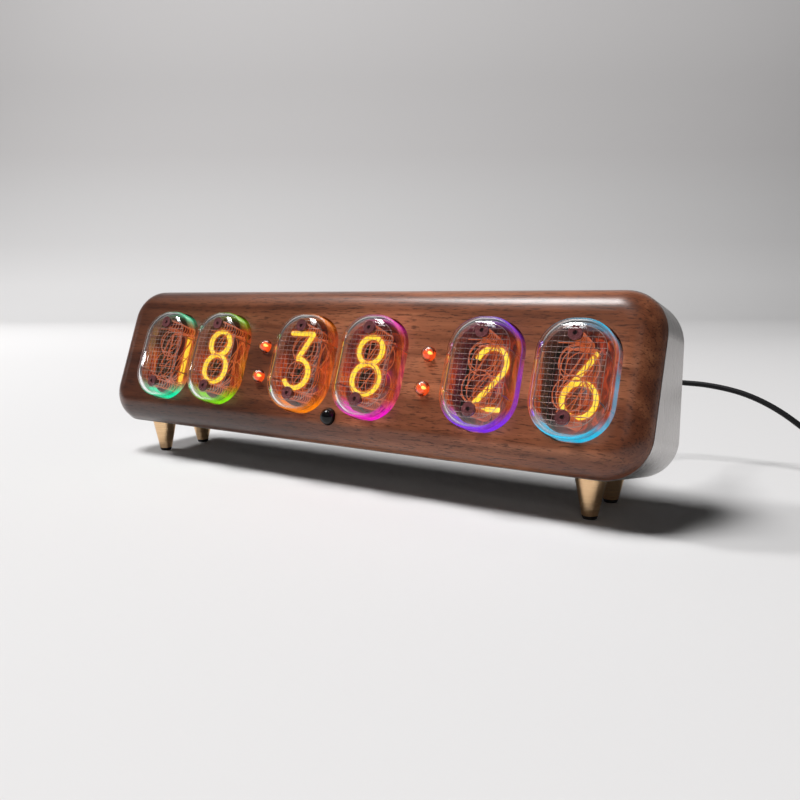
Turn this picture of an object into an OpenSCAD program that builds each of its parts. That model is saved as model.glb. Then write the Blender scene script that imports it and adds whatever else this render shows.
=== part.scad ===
// Six-tube desk clock: walnut front, brushed metal case, tapered brass feet.
// X runs along the clock, Y from front to back, Z up. Z = 0 is the table under the feet.

/* [Front panel] */
// Length of the walnut front
face_w = 200; // [196:1:230]
// Height of the walnut front, measured along its slope
face_h = 50.5; // [48:0.5:56]
// Corner radius of the front outline
corner_r = 12; // [9:0.5:14]
// Radius of the soft round-over round the front
edge_r = 8; // [6.5:0.5:8.5]
// Thickness of walnut in front of the case seam
panel_t = 6.5; // [5.5:0.5:6.5]
// Depth of the walnut step that sits inside the case
spigot_t = 2.5; // [2:0.5:3]
// Lean of the front, back from the vertical, in degrees
face_tilt = 20.7; // [17:0.1:22]
// Height of the middle of the front above the table
face_z = 38.5; // [36:0.1:42]

/* [Case] */
// Depth of the clock from the middle of the front to the flat back
body_depth = 29.7; // [29.2:0.5:40]
// Wall of the case
case_wall = 1.5; // [1.2:0.1:2]
// Angle between the case axis and the front's normal, in degrees
case_skew = 10.2; // [7:0.1:10.6]
// Thickness of the rear cover
cover_t = 1.8; // [1.5:0.1:2]

/* [Tubes] */
// Width of a tube
tube_w = 21; // [20:0.5:22]
// Height of a tube
tube_h = 31; // [30:0.5:32]
// Corner radius of a tube's outline
tube_r = 9.5; // [8:0.5:9.5]
// Length of the glass
glass_len = 19.5; // [19:0.5:20]
// Wall of the glass
glass_t = 1; // [0.8:0.1:1.2]
// How far the glass stands out of the walnut
tube_proud = 7.5; // [6:0.5:8]
// Distance between the two tubes of a pair
tube_pitch = 25.7; // [25:0.1:27]
// Walnut left between the last tube and the right end of the front
end_margin = 9; // [8:0.1:11]
// How far the row of tubes lies to the right of the middle
group_x = 5.3; // [2:0.1:5.5]
// How far the row of tubes lies above the middle of the front
group_v = -1.5; // [-2:0.1:0]
// Height of a numeral
digit_h = 18; // [16:0.5:18.5]
// Width of a numeral
digit_w = 9.8; // [8.5:0.1:10.2]
// Width of the wire of a numeral
digit_wire = 0.5; // [0.4:0.05:0.6]
// Distance from one numeral to the next in the stack
digit_pitch = 1.05; // [0.9:0.05:1.1]
// Distance between the two ceramic rods of a tube
rod_spacing = 21.6; // [21.2:0.1:22]
// Pitch of the wires in the anode mesh
mesh_pitch = 2.1; // [1.9:0.1:3]
// Radius of the round-over at the front of the glass
glass_round = 3.2; // [2.5:0.1:4]

/* [Lamps and sensor] */
// Diameter of a colon lamp
lamp_d = 4; // [3.5:0.1:4.5]
// How far a colon lamp stands out of the walnut
lamp_proud = 2.8; // [2.5:0.1:3.5]
// Distance between the two lamps of a colon
lamp_spacing = 10.2; // [9:0.1:12]
// Diameter of the sensor dome
sensor_d = 5; // [4.5:0.1:5.2]
// How far the sensor lies below the tube centres
sensor_drop = 15.9; // [15:0.1:16.5]

/* [Feet] */
// Distance of a foot's axis from the end of the case
foot_inset = 16.8; // [14:0.2:25]
// Top diameter of a front foot
front_foot_d = 8.4; // [7.5:0.1:9]
// Top diameter of a rear foot
rear_foot_d = 7.4; // [6.5:0.1:8]
// Diameter at the bottom of a foot
foot_tip_d = 4.4; // [4:0.1:5]
// Height of the rubber tip
tip_h = 1; // [0.8:0.1:1.5]

/* [Controls] */
// Diameter of a push button
button_d = 3.6; // [3:0.1:4]
// How far a button stands out of the rear cover
button_proud = 1.3; // [1:0.1:1.6]
// Travel of a button
button_travel = 0.5; // [0.3:0.05:0.5]
// Distance between buttons
button_pitch = 14; // [12:0.5:18]
// Distance of the power socket from the right end of the case
jack_inset = 34; // [30:1:38]
// How far above the middle of the back the power socket lies
jack_up = 0; // [-2:0.5:6]

/* [Power lead] */
// Diameter of the lead
cord_d = 1.9; // [1.8:0.05:2]

/* [Fits] */
// Gap round each tube in the walnut
window_gap = 0.5; // [0.4:0.1:0.8]
// Gap round a moving button
button_gap = 0.3; // [0.25:0.05:0.4]
// Gap between parts that only sit next to each other
seat_gap = 0.2; // [0.15:0.05:0.3]

/* [Hidden] */
$fn = 64;
eps = 0.01;

// --- stations behind the walnut face, along its normal ---
pane_front = -tube_proud;
glass_back = pane_front + glass_len;
base_t = 3;
base_front = glass_back - base_t;
socket_lift = 0.4;
socket_t = 3.2;
board_t = 1.6;
board_front = glass_back + socket_lift + socket_t;
board_back = board_front + board_t;
panel_back = panel_t + spigot_t;

// --- case, in its own axes ---
case_h = face_h * cos(case_skew);
case_r = corner_r;
inner_w = face_w - 2 * case_wall;
inner_h = case_h - 2 * case_wall;
inner_r = case_r - case_wall;
case_slope = face_tilt - case_skew;
seam_y = panel_t * cos(face_tilt);
seam_z = -panel_t * sin(face_tilt);
back_z = face_z + seam_z - (body_depth - seam_y) * tan(case_slope);
back_half = case_h / 2 / cos(case_slope);
cover_front = -cover_t;
boss_r = 2.9;
boss_inset = 7;
boss_web_t = 2;
boss_len = 6.8;
boss_bore_r = 1.25;
screw_r = 1.1;
screw_head_r = 2.1;
screw_head_t = 1.2;
cover_screw_bite = 4.5;
hex_r = 0.8;
hex_depth = 0.7;

// --- numerals and what holds them ---
numeral_t = 0.3;
first_numeral = pane_front + 3.8;
stack_order = [3, 8, 9, 4, 0, 5, 7, 2, 6, 1];
rod_r = 1;
collar_r = 1.9;
collar_t = 0.9;
ear_gap = 0.15;
ear_r = rod_r + ear_gap + 0.7;
mesh_t = 0.25;
mesh_wire = 0.2;
mesh_d = first_numeral - 1.2;
mesh_w = 16.6;
mesh_h = 25.6;
mesh_r = 6.5;
mesh_rim = 0.8;
rail_w = 1.2;
pin_r = 0.5;
pin_len = 3.1;
pin_count = 12;
pin_ring_w = 13;
pin_ring_h = 22;

// --- where things stand along the row ---
pair_pitch = face_w / 2 - end_margin - (tube_w + tube_pitch) / 2 - group_x;
tube_x = [for (pair = [-1, 0, 1], side = [-0.5, 0.5]) group_x + pair * pair_pitch + side * tube_pitch];
colon_x = [for (gap = [-0.5, 0.5]) group_x + gap * pair_pitch];
standoff_v = 14.6;
standoff_r = 2.6;

// --- lamps ---
lamp_len = 12;
lamp_wall = 0.5;
lamp_back = lamp_len - lamp_proud;
lead_r = 0.25;
electrode_r = 0.45;
electrode_gap = 1.5;
led_w = 5;
led_t = 1.6;
led_lens_r = 1.9;
led_gap = 0.4;

// --- boards ---
board_edge = 0.6;
board_overhang = 2.5;
board_r = 2;
board_w = tube_x[5] - tube_x[0] + tube_w + 2 * board_edge;
board_h = tube_h + 2 * board_overhang;
board_bite = 3;
bore_floor = 1;
stud_span_x = 60;
stud_margin_x = 8;
stud_margin_z = 3.5;
ctrl_x = -18;
ctrl_w = 2 * (stud_span_x + stud_margin_x);
ctrl_gap = 5.1;
ctrl_back = cover_front - ctrl_gap;
ctrl_front = ctrl_back - board_t;

// The control board reaches from just over the floor of the case up to the screws of the leaning
// display board, or to the roof where the case is deep. Heights are from the middle of the back.
board_clear = 0.8;
floor_clear = 5.1;
inner_half = back_half - case_wall / cos(case_slope);
screws_back = board_back + screw_head_t + board_clear;
screws_v = (body_depth + ctrl_front - screws_back * cos(face_tilt)) / sin(face_tilt);
screws_z = face_z + screws_v * cos(face_tilt) - screws_back * sin(face_tilt) - back_z;
roof_z = inner_half - ctrl_back * tan(case_slope) - board_clear;
ctrl_top = min(screws_z, roof_z);
ctrl_foot = floor_clear - inner_half - ctrl_front * tan(case_slope);
ctrl_h = ctrl_top - ctrl_foot;
ctrl_z = (ctrl_top + ctrl_foot) / 2;
stud_span_z = ctrl_h / 2 - stud_margin_z;
chip_size = [10, 5.5, 1.5];
chip_pitch = 20;
chip_z = ctrl_z - 4;
inductor_place = [10, ctrl_z];
cell_place = [28, ctrl_z + 3];
can_r = 4;
can_len = 12;

// --- buttons ---
switch_t = 2.6;
switch_w = 6;
switch_gap = 0.4;
plunger_r = 1.6;
flange_r = 2.9;
flange_t = 0.8;
button_mid = -46;
button_up = 4.3;
button_x = [for (k = [-1, 0, 1]) button_mid + k * button_pitch];
button_z = ctrl_z + button_up;
button_chamfer = 0.4;
flange_back = cover_front - button_gap;
flange_front = flange_back - flange_t;
plunger_t = flange_front - ctrl_back - switch_t - button_travel - switch_gap;

// --- power socket and plug, measured backwards from the rear cover ---
jack_x = face_w / 2 - jack_inset;
jack_rim_r = 5.4;
jack_rim_t = 1.2;
jack_thread_r = 4;
jack_thread_gap = 0.05;
jack_nut_r = 6;
jack_nut_t = 2;
jack_depth = 8.6;
jack_bore_r = 2.85;
jack_bore_depth = 8;
jack_pin_r = 1;
plug_front = jack_rim_t;
plug_barrel_r = 2.75;
plug_hollow_r = 1.15;
plug_barrel_len = 7.2;
plug_r = 4.6;
plug_neck_r = 3.6;
plug_len = 20;
relief_len = 15;
relief_r = 2.6;
relief_end = plug_front + plug_len + relief_len;

// --- feet ---
front_foot_y = 5.7;
rear_foot_inset = 5.4;
rear_foot_y = body_depth - rear_foot_inset;
foot_span = face_w - 2 * foot_inset;
foot_screw_r = 1;
foot_screw_bite = 2.5;
foot_bore_spare = 1.5;
tip_chamfer = 0.4;

// --- the clock stands centred over the origin ---
front_reach = (tube_h / 2 - glass_round - group_v) * sin(face_tilt)
  + (tube_proud - glass_round) * cos(face_tilt) + glass_round;
rear_reach = body_depth + max(button_proud, jack_rim_t, screw_head_t);
face_y = (front_reach - rear_reach) / 2;

// A frame on the middle of the walnut face: X along the row, Y into the clock, Z up the slope.
module on_face() {
  translate([0, face_y, face_z]) rotate([-face_tilt, 0, 0]) children();
}

// A frame on the case: Y runs backwards along the case axis from the seam.
module in_case() {
  on_face() translate([0, panel_t, 0]) rotate([case_skew, 0, 0]) children();
}

// A frame on the middle of the flat back: X to the right as seen from the front, Y backwards, Z up.
module at_back() {
  translate([0, face_y + body_depth, back_z]) children();
}

// A flat shape pushed back from depth d through h.
module deep(d, h) {
  translate([0, d + h, 0]) rotate([90, 0, 0]) linear_extrude(h) children();
}

// A round rod along the depth, from depth d through h.
module rod(d, h, r, x = 0, z = 0) {
  translate([x, d + h, z]) rotate([90, 0, 0]) cylinder(h = h, r = r);
}

// An upright oblong with round corners.
module rounded(w, h, r) {
  square([w - 2 * r, h], center = true);
  square([w, h - 2 * r], center = true);
  for (sx = [-1, 1], sz = [-1, 1]) translate([sx * (w / 2 - r), sz * (h / 2 - r)]) circle(r);
}

// Half section of a block with a rounded front edge: x outwards, y back.
module edge_section(r, e, t) {
  square([r - e, t]);
  if (t > e) translate([r - e, e]) square([e, t - e]);
  intersection() {
    translate([r - e, e]) circle(e);
    translate([r - e, 0]) square([e, min(e, t)]);
  }
}

// A rounded block whose front edge is rounded over by e.
module soft_block(w, h, r, e, t) {
  translate([-(w / 2 - r), 0, -(h / 2 - r)]) cube([w - 2 * r, t, h - 2 * r]);
  for (side = [0, 1, 2, 3]) {
    long = side % 2 == 0 ? h - 2 * r : w - 2 * r;
    reach = side % 2 == 0 ? w / 2 - r : h / 2 - r;
    rotate([0, 90 * side, 0]) translate([reach, 0, 0])
      linear_extrude(long, center = true) edge_section(r, e, t);
  }
  for (turn = [[1, -1, 0], [-1, -1, 90], [-1, 1, 180], [1, 1, 270]])
    translate([turn[0] * (w / 2 - r), 0, turn[1] * (h / 2 - r)])
      rotate([0, turn[2], 0]) rotate([-90, 0, 0]) rotate_extrude(angle = 90) edge_section(r, e, t);
}

// ---------------------------------------------------------------- walnut front

module front_panel() {
  color([0.42, 0.27, 0.19]) on_face() difference() {
    union() {
      soft_block(face_w, face_h, corner_r, edge_r, panel_t);
      deep(panel_t - eps, spigot_t + eps)
        rounded(inner_w - 6 * seat_gap, inner_h - 6 * seat_gap, inner_r - 3 * seat_gap);
    }
    for (x = tube_x) translate([x, 0, group_v])
      deep(-1, panel_back + 2)
        rounded(tube_w + 2 * window_gap, tube_h + 2 * window_gap, tube_r + window_gap);
    for (x = colon_x, s = [-0.5, 0.5])
      rod(-1, panel_back + 2, lamp_d / 2 + seat_gap, x, group_v + s * lamp_spacing);
    rod(-1, panel_back + 2, sensor_d / 2 + seat_gap, group_x, group_v - sensor_drop);
  }
}

// ---------------------------------------------------------------- case and rear

module boss_places() {
  for (sx = [-1, 1], sz = [-1, 1])
    translate([sx * (face_w / 2 - boss_inset), 0, sz * (back_half - boss_inset)]) children();
}

// The space inside an endless case of the given section, from the seam to the back plane.
module case_run(w, h, r, back) {
  reach = body_depth + face_h;
  difference() {
    in_case() deep(-reach, 2 * reach) rounded(w, h, r);
    on_face() translate([-face_w, -2 * reach + panel_t, -2 * reach]) cube([2 * face_w, 2 * reach, 4 * reach]);
    at_back() translate([-face_w, back, -2 * reach]) cube([2 * face_w, 2 * reach, 4 * reach]);
  }
}

// Four screw bosses, each tied to the end wall by a web, kept within the wall of the case.
module cover_bosses() {
  intersection() {
    case_run(face_w - case_wall, case_h - case_wall, case_r - case_wall / 2, 0);
    at_back() union() {
      boss_places() rod(cover_front - boss_len, boss_len, boss_r);
      for (sx = [-1, 1], sz = [-1, 1])
        translate([sx * (face_w / 2 - boss_inset / 2), 0, sz * (back_half - boss_inset)])
          deep(cover_front - boss_len, boss_len) square([boss_inset, boss_web_t], center = true);
    }
  }
}

module case_shell() {
  color([0.69, 0.67, 0.66]) difference() {
    union() {
      difference() {
        case_run(face_w, case_h, case_r, 0);
        in_case() deep(-face_h, body_depth + 2 * face_h) rounded(inner_w, inner_h, inner_r);
      }
      cover_bosses();
    }
    at_back() boss_places() rod(cover_front - boss_len - 1, boss_len + 2, boss_bore_r);
    for (y = [front_foot_y, rear_foot_y], sx = [-1, 1])
      translate([sx * foot_span / 2, face_y + y, 0]) cylinder(h = back_z, r = foot_screw_r + seat_gap);
  }
}

module rear_cover() {
  color([0.66, 0.64, 0.63]) difference() {
    intersection() {
      case_run(inner_w - seat_gap, inner_h - seat_gap, inner_r - seat_gap / 2, 0);
      at_back() translate([-face_w, cover_front, -face_h]) cube([2 * face_w, cover_t, 2 * face_h]);
    }
    at_back() {
      boss_places() rod(cover_front - 1, cover_t + 2, screw_r + seat_gap);
      for (x = button_x) rod(cover_front - 1, cover_t + 2, button_d / 2 + button_gap, x, button_z);
      rod(cover_front - 1, cover_t + 2, jack_thread_r, jack_x, jack_up);
    }
  }
}

module cover_screws() {
  shank = cover_t + cover_screw_bite;
  color([0.3, 0.3, 0.31]) at_back() boss_places() difference() {
    union() {
      rod(-shank, shank + eps, screw_r);
      rod(0, screw_head_t, screw_head_r);
    }
    rod(screw_head_t - hex_depth, 1, hex_r, $fn = 6);
  }
}

// ---------------------------------------------------------------- feet

// Everything above the underside of the case.
module above_underside() {
  in_case() translate([-face_w, -face_w, -case_h / 2]) cube([2 * face_w, 2 * face_w, face_w]);
}

module foot(side, y, d) {
  color([0.72, 0.57, 0.4]) difference() {
    h = foot_rise(y) + d * tan(case_slope);
    translate([side * foot_span / 2, face_y + y, tip_h])
      cylinder(h = h, r1 = foot_tip_d / 2, r2 = foot_tip_d / 2 + (d - foot_tip_d) / 2 * h / foot_rise(y));
    above_underside();
    translate([side * foot_span / 2, face_y + y, underside(y) - foot_screw_bite - foot_bore_spare])
      cylinder(h = face_z, r = foot_screw_r + seat_gap / 2);
  }
}

// Height of the underside of the case over the table at a distance y behind the face centre.
function underside(y) = face_z + seam_z - (y - seam_y) * tan(case_slope) - back_half;
function foot_rise(y) = underside(y) - tip_h;

module foot_front_left() { foot(-1, front_foot_y, front_foot_d); }
module foot_front_right() { foot(1, front_foot_y, front_foot_d); }
module foot_rear_left() { foot(-1, rear_foot_y, rear_foot_d); }
module foot_rear_right() { foot(1, rear_foot_y, rear_foot_d); }

module foot_tips() {
  color([0.08, 0.08, 0.08]) for (y = [front_foot_y, rear_foot_y], sx = [-1, 1])
    translate([sx * foot_span / 2, face_y + y, 0])
      cylinder(h = tip_h, r1 = foot_tip_d / 2 - tip_chamfer, r2 = foot_tip_d / 2);
}

module foot_screws() {
  color([0.45, 0.45, 0.46]) for (y = [front_foot_y, rear_foot_y], sx = [-1, 1])
    translate([sx * foot_span / 2, face_y + y, underside(y)]) {
      rise = case_wall / cos(case_slope) + screw_head_r * tan(case_slope) + 0.1;
      translate([0, 0, -foot_screw_bite]) cylinder(h = foot_screw_bite + rise + eps, r = foot_screw_r);
      translate([0, 0, rise]) cylinder(h = screw_head_t, r = screw_head_r);
    }
}

// ---------------------------------------------------------------- tubes

module at_tube(k) {
  on_face() translate([tube_x[k - 1], 0, group_v]) children();
}

module tube_glass(k) {
  color([0.85, 0.9, 0.92, 0.35]) at_tube(k) difference() {
    translate([0, pane_front, 0]) soft_block(tube_w, tube_h, tube_r, glass_round, glass_len);
    translate([0, pane_front + glass_t, 0])
      soft_block(tube_w - 2 * glass_t, tube_h - 2 * glass_t, tube_r - glass_t, glass_round - glass_t, glass_len);
  }
}

module tube_base(k) {
  color([0.5, 0.5, 0.5, 0.6]) at_tube(k) deep(base_front, base_t)
    rounded(tube_w - 2 * glass_t - seat_gap, tube_h - 2 * glass_t - seat_gap, tube_r - glass_t - seat_gap / 2);
}

module tube_anode(k) {
  cols = floor(mesh_w / mesh_pitch / 2);
  rows = floor(mesh_h / mesh_pitch / 2);
  rail_v = 8;
  color([0.6, 0.58, 0.56]) at_tube(k) {
    difference() {
      deep(mesh_d, mesh_t) {
        difference() {
          rounded(mesh_w, mesh_h, mesh_r);
          rounded(mesh_w - 2 * mesh_rim, mesh_h - 2 * mesh_rim, mesh_r - mesh_rim);
        }
        intersection() {
          rounded(mesh_w - mesh_rim, mesh_h - mesh_rim, mesh_r - mesh_rim / 2);
          union() {
            for (c = [-cols:cols]) translate([c * mesh_pitch, 0]) square([mesh_wire, mesh_h], center = true);
            for (r = [-rows:rows]) translate([0, r * mesh_pitch]) square([mesh_w, mesh_wire], center = true);
          }
        }
      }
      for (s = [-0.5, 0.5]) rod(mesh_d - 1, mesh_t + 2, rod_r + ear_gap, 0, s * rod_spacing);
    }
    for (sx = [-1, 1]) translate([sx * (mesh_w / 2 - mesh_t / 2), 0, 0])
      deep(mesh_d + mesh_t - eps, base_front - mesh_d - mesh_t + eps) square([mesh_t, rail_w], center = true);
    for (sx = [-1, 1], sz = [-1, 1]) translate([sx * (mesh_w / 2 - mesh_t / 2), 0, sz * rail_v / 2])
      deep(mesh_d + mesh_t - eps, base_front - mesh_d - mesh_t + eps) square([mesh_t, rail_w], center = true);
  }
}

// A stretch of numeral wire bent round a circle, from angle a to b.
module bend(x, z, r, a, b) {
  reach = 2 * r;
  steps = ceil((b - a) / 60);
  translate([x, z]) intersection() {
    difference() {
      circle(r + digit_wire / 2);
      circle(r - digit_wire / 2);
    }
    polygon(concat([[0, 0]], [for (i = [0:steps]) let (q = a + (b - a) * i / steps) [reach * cos(q), reach * sin(q)]]));
  }
}

// A straight stretch of numeral wire from p to q.
module wire(p, q) {
  run = q - p;
  translate(p) rotate(atan2(run[1], run[0]))
    translate([-digit_wire / 2, -digit_wire / 2]) square([norm(run) + digit_wire, digit_wire]);
}

// The ten numerals, from bends and straight stretches.
module numeral(n) {
  a = digit_w / 2 - digit_wire / 2;
  t = digit_h / 2 - digit_wire / 2;
  small = t - a;
  if (n == 0) {
    bend(0, small, a, 0, 180);
    bend(0, -small, a, 180, 360);
    for (s = [-1, 1]) wire([s * a, -small], [s * a, small]);
  }
  if (n == 1) wire([0, -t], [0, t]);
  if (n == 2) {
    bend(0, small, a, -35, 165);
    wire([a * cos(-35), small + a * sin(-35)], [-a, -t]);
    wire([-a, -t], [a, -t]);
  }
  if (n == 3) {
    wire([-a, t], [a * 0.85, t]);
    wire([a * 0.85, t], [-a * 0.1, a - small]);
    bend(0, -small, a, -150, 96);
  }
  if (n == 4) {
    wire([a * 0.45, -t], [a * 0.45, t]);
    wire([a * 0.45, t], [-a, -small]);
    wire([-a, -small], [a, -small]);
  }
  if (n == 5) {
    wire([a * 0.85, t], [-a * 0.75, t]);
    wire([-a * 0.75, t], [a * cos(145), a * sin(145) - small]);
    bend(0, -small, a, -150, 145);
  }
  if (n == 6) {
    bend(0, -small, a, 0, 360);
    wire([-a * 0.94, -small + a * 0.34], [a * 0.7, t]);
  }
  if (n == 7) {
    wire([-a, t], [a, t]);
    wire([a, t], [-a * 0.35, -t]);
  }
  if (n == 8) {
    up = (2 * t - 2 * a) / 2;
    bend(0, t - up, up, 0, 360);
    bend(0, -small, a, 0, 360);
  }
  if (n == 9) {
    bend(0, small, a, 0, 360);
    wire([a * 0.94, small - a * 0.34], [-a * 0.7, -t]);
  }
}

// Where the top and the bottom of each numeral are tied to its ears.
tie_top = [0, 0, 0, 0, 0.45, 0, 0.7, 0, 0, 0];
tie_foot = [0, 0, 0, 0, 0.45, 0, 0, -0.35, 0, -0.7];

module numeral_with_ears(n) {
  a = digit_w / 2 - digit_wire / 2;
  t = digit_h / 2 - digit_wire / 2;
  reach = rod_spacing / 2 - ear_r + digit_wire / 2;
  numeral(n);
  for (s = [-1, 1]) difference() {
    translate([0, s * rod_spacing / 2]) circle(ear_r);
    translate([0, s * rod_spacing / 2]) circle(rod_r + ear_gap);
  }
  wire([tie_top[n] * a, t], [0, reach]);
  wire([tie_foot[n] * a, -t], [0, -reach]);
}

module tube_numerals(k) {
  color([0.55, 0.42, 0.36]) at_tube(k) for (i = [0:9])
    deep(first_numeral + i * digit_pitch, numeral_t) numeral_with_ears(stack_order[i]);
}

module tube_1_glass() { tube_glass(1); }
module tube_2_glass() { tube_glass(2); }
module tube_3_glass() { tube_glass(3); }
module tube_4_glass() { tube_glass(4); }
module tube_5_glass() { tube_glass(5); }
module tube_6_glass() { tube_glass(6); }
module tube_1_anode() { tube_anode(1); }
module tube_2_anode() { tube_anode(2); }
module tube_3_anode() { tube_anode(3); }
module tube_4_anode() { tube_anode(4); }
module tube_5_anode() { tube_anode(5); }
module tube_6_anode() { tube_anode(6); }
module tube_1_numerals() { tube_numerals(1); }
module tube_2_numerals() { tube_numerals(2); }
module tube_3_numerals() { tube_numerals(3); }
module tube_4_numerals() { tube_numerals(4); }
module tube_5_numerals() { tube_numerals(5); }
module tube_6_numerals() { tube_numerals(6); }
module tube_1_base() { tube_base(1); }
module tube_2_base() { tube_base(2); }
module tube_3_base() { tube_base(3); }
module tube_4_base() { tube_base(4); }
module tube_5_base() { tube_base(5); }
module tube_6_base() { tube_base(6); }

module pin_places() {
  for (i = [0:pin_count - 1]) let (q = 360 * (i + 0.5) / pin_count)
    translate([pin_ring_w / 2 * cos(q), 0, pin_ring_h / 2 * sin(q)]) children();
}

module tube_pins() {
  color([0.75, 0.73, 0.7]) for (k = [1:6]) at_tube(k) pin_places() rod(glass_back, pin_len, pin_r);
}

module tube_rods() {
  front = mesh_d - collar_t;
  color([0.82, 0.66, 0.64]) for (k = [1:6], s = [-0.5, 0.5]) at_tube(k) difference() {
    union() {
      rod(front, base_front - front, rod_r, 0, s * rod_spacing);
      rod(front, collar_t - 0.1, collar_r, 0, s * rod_spacing);
    }
    rod(front - 1, 2, rod_r * 0.6, 0, s * rod_spacing);
  }
}

module tube_sockets() {
  open_w = led_w + 2 * led_gap;
  open_r = 1.9;
  color([0.12, 0.12, 0.12]) for (k = [1:6]) at_tube(k) difference() {
    deep(glass_back + socket_lift, socket_t) difference() {
      rounded(tube_w, tube_h, tube_r);
      rounded(open_w, open_w + tube_h - tube_w, open_r);
    }
    pin_places() rod(glass_back, socket_t + 1, pin_r + 0.1);
  }
}

// ---------------------------------------------------------------- lamps and sensor

module lamp_places() {
  for (x = colon_x, s = [-0.5, 0.5]) translate([x, 0, group_v + s * lamp_spacing]) children();
}

// Half section of a round-nosed bulb, x outwards, y back, nose at y = 0.
module nose_section(r, l) {
  intersection() {
    translate([0, r]) circle(r);
    square([r, r]);
  }
  translate([0, r]) square([r, l - r]);
}

module colon_lamps() {
  color([0.95, 0.6, 0.45, 0.5]) on_face() lamp_places() translate([0, -lamp_proud, 0]) rotate([-90, 0, 0])
    rotate_extrude() difference() {
      nose_section(lamp_d / 2, lamp_len);
      translate([0, lamp_wall]) nose_section(lamp_d / 2 - lamp_wall, lamp_len);
    }
}

module colon_electrodes() {
  color([0.7, 0.68, 0.66]) on_face() lamp_places() {
    rod(lamp_back - 2, 2, lamp_d / 2 - lamp_wall - 0.05);
    for (s = [-0.5, 0.5]) {
      rod(electrode_gap - lamp_proud, lamp_len - 2 - electrode_gap + eps, electrode_r, s * electrode_gap);
      rod(lamp_back, board_front - lamp_back, lead_r, s * electrode_gap);
    }
  }
}

module sensor_dome() {
  body_len = 8.6;
  wire_r = 0.3;
  wire_pitch = 2.54;
  color([0.03, 0.03, 0.03]) on_face() translate([group_x, 0, group_v - sensor_drop]) {
    translate([0, -sensor_d / 2, 0]) rotate([-90, 0, 0]) rotate_extrude() nose_section(sensor_d / 2, body_len);
    for (s = [-0.5, 0.5])
      rod(body_len - sensor_d / 2, board_front - body_len + sensor_d / 2, wire_r, s * wire_pitch);
  }
}

module underlight_leds() {
  color([0.95, 0.95, 0.92]) for (k = [1:6]) at_tube(k) difference() {
    deep(board_front - led_t, led_t) square(led_w, center = true);
    rod(board_front - led_t - 0.5, 1, led_lens_r);
  }
}

// ---------------------------------------------------------------- boards

module standoff_places() {
  for (x = colon_x, s = [-1, 1]) translate([x, 0, group_v + s * standoff_v]) children();
}

module stud_places() {
  for (sx = [-1, 1], sz = [-1, 1])
    translate([ctrl_x + sx * stud_span_x, 0, ctrl_z + sz * stud_span_z]) children();
}

module display_board() {
  color([0.05, 0.22, 0.12]) on_face() difference() {
    translate([group_x, 0, group_v]) deep(board_front, board_t) rounded(board_w, board_h, board_r);
    standoff_places() rod(board_front - 1, board_t + 2, screw_r + seat_gap);
  }
}

module control_board() {
  color([0.05, 0.22, 0.12]) at_back() difference() {
    translate([ctrl_x, 0, ctrl_z]) deep(ctrl_front, board_t) rounded(ctrl_w, ctrl_h, board_r);
    stud_places() rod(ctrl_front - 1, board_t + 2, screw_r + seat_gap);
  }
}

module board_standoffs() {
  color([0.78, 0.62, 0.34]) {
    on_face() standoff_places() difference() {
      rod(panel_back, board_front - panel_back, standoff_r, $fn = 6);
      rod(panel_back + bore_floor, board_front - panel_back, boss_bore_r);
    }
    at_back() stud_places() difference() {
      rod(ctrl_back, ctrl_gap, standoff_r, $fn = 6);
      rod(ctrl_back - bore_floor, ctrl_gap, boss_bore_r);
    }
  }
}

module board_screws() {
  color([0.6, 0.6, 0.6]) {
    on_face() standoff_places() {
      rod(board_front - board_bite, board_t + board_bite + eps, screw_r);
      rod(board_back, screw_head_t, screw_head_r);
    }
    at_back() stud_places() {
      rod(ctrl_front - eps, board_t + board_bite + eps, screw_r);
      rod(ctrl_front - screw_head_t, screw_head_t, screw_head_r);
    }
  }
}

module driver_chips() {
  color([0.1, 0.1, 0.11]) at_back() for (i = [-2.5:2.5])
    translate([ctrl_x + chip_pitch * i, 0, chip_z])
      deep(ctrl_front - chip_size[2], chip_size[2]) square([chip_size[0], chip_size[1]], center = true);
}

module hv_inductor() {
  side = 10;
  core_t = 4.2;
  color([0.2, 0.2, 0.21]) at_back() translate([inductor_place[0], 0, inductor_place[1]]) {
    deep(ctrl_back, 1) rounded(side, side, 1.5);
    rod(ctrl_back + 1 - eps, core_t - 2 + 2 * eps, side / 2 - 1.6);
    rod(ctrl_back + core_t - 1, 1, side / 2 - 0.3);
  }
}

module hv_capacitor() {
  color([0.15, 0.17, 0.3]) on_face()
    translate([tube_x[5], board_back + can_r, group_v - board_h / 2 + can_r])
    cylinder(h = can_len, r = can_r);
}

module backup_battery() {
  cell_r = 6.25;
  cell_t = 2;
  color([0.7, 0.7, 0.7]) at_back() {
    rod(ctrl_back, 1, cell_r + 0.8, cell_place[0], cell_place[1]);
    rod(ctrl_back + 1, cell_t, cell_r, cell_place[0], cell_place[1]);
  }
}

// ---------------------------------------------------------------- controls

module power_jack() {
  color([0.1, 0.1, 0.1]) at_back() translate([jack_x, 0, jack_up]) difference() {
    union() {
      rod(0, jack_rim_t, jack_rim_r);
      rod(-jack_depth, jack_depth + eps, jack_thread_r - jack_thread_gap);
      rod(cover_front - jack_nut_t, jack_nut_t, jack_nut_r, $fn = 6);
    }
    difference() {
      rod(plug_front - jack_bore_depth, jack_bore_depth + 1, jack_bore_r);
      rod(plug_front - jack_bore_depth - 1, jack_bore_depth, jack_pin_r);
    }
  }
}

module tact_switches() {
  color([0.14, 0.14, 0.15]) at_back() for (x = button_x) translate([x, 0, button_z]) {
    deep(ctrl_back, switch_t) square(switch_w, center = true);
    rod(ctrl_back + switch_t - eps, plunger_t + eps, plunger_r);
  }
}

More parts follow.
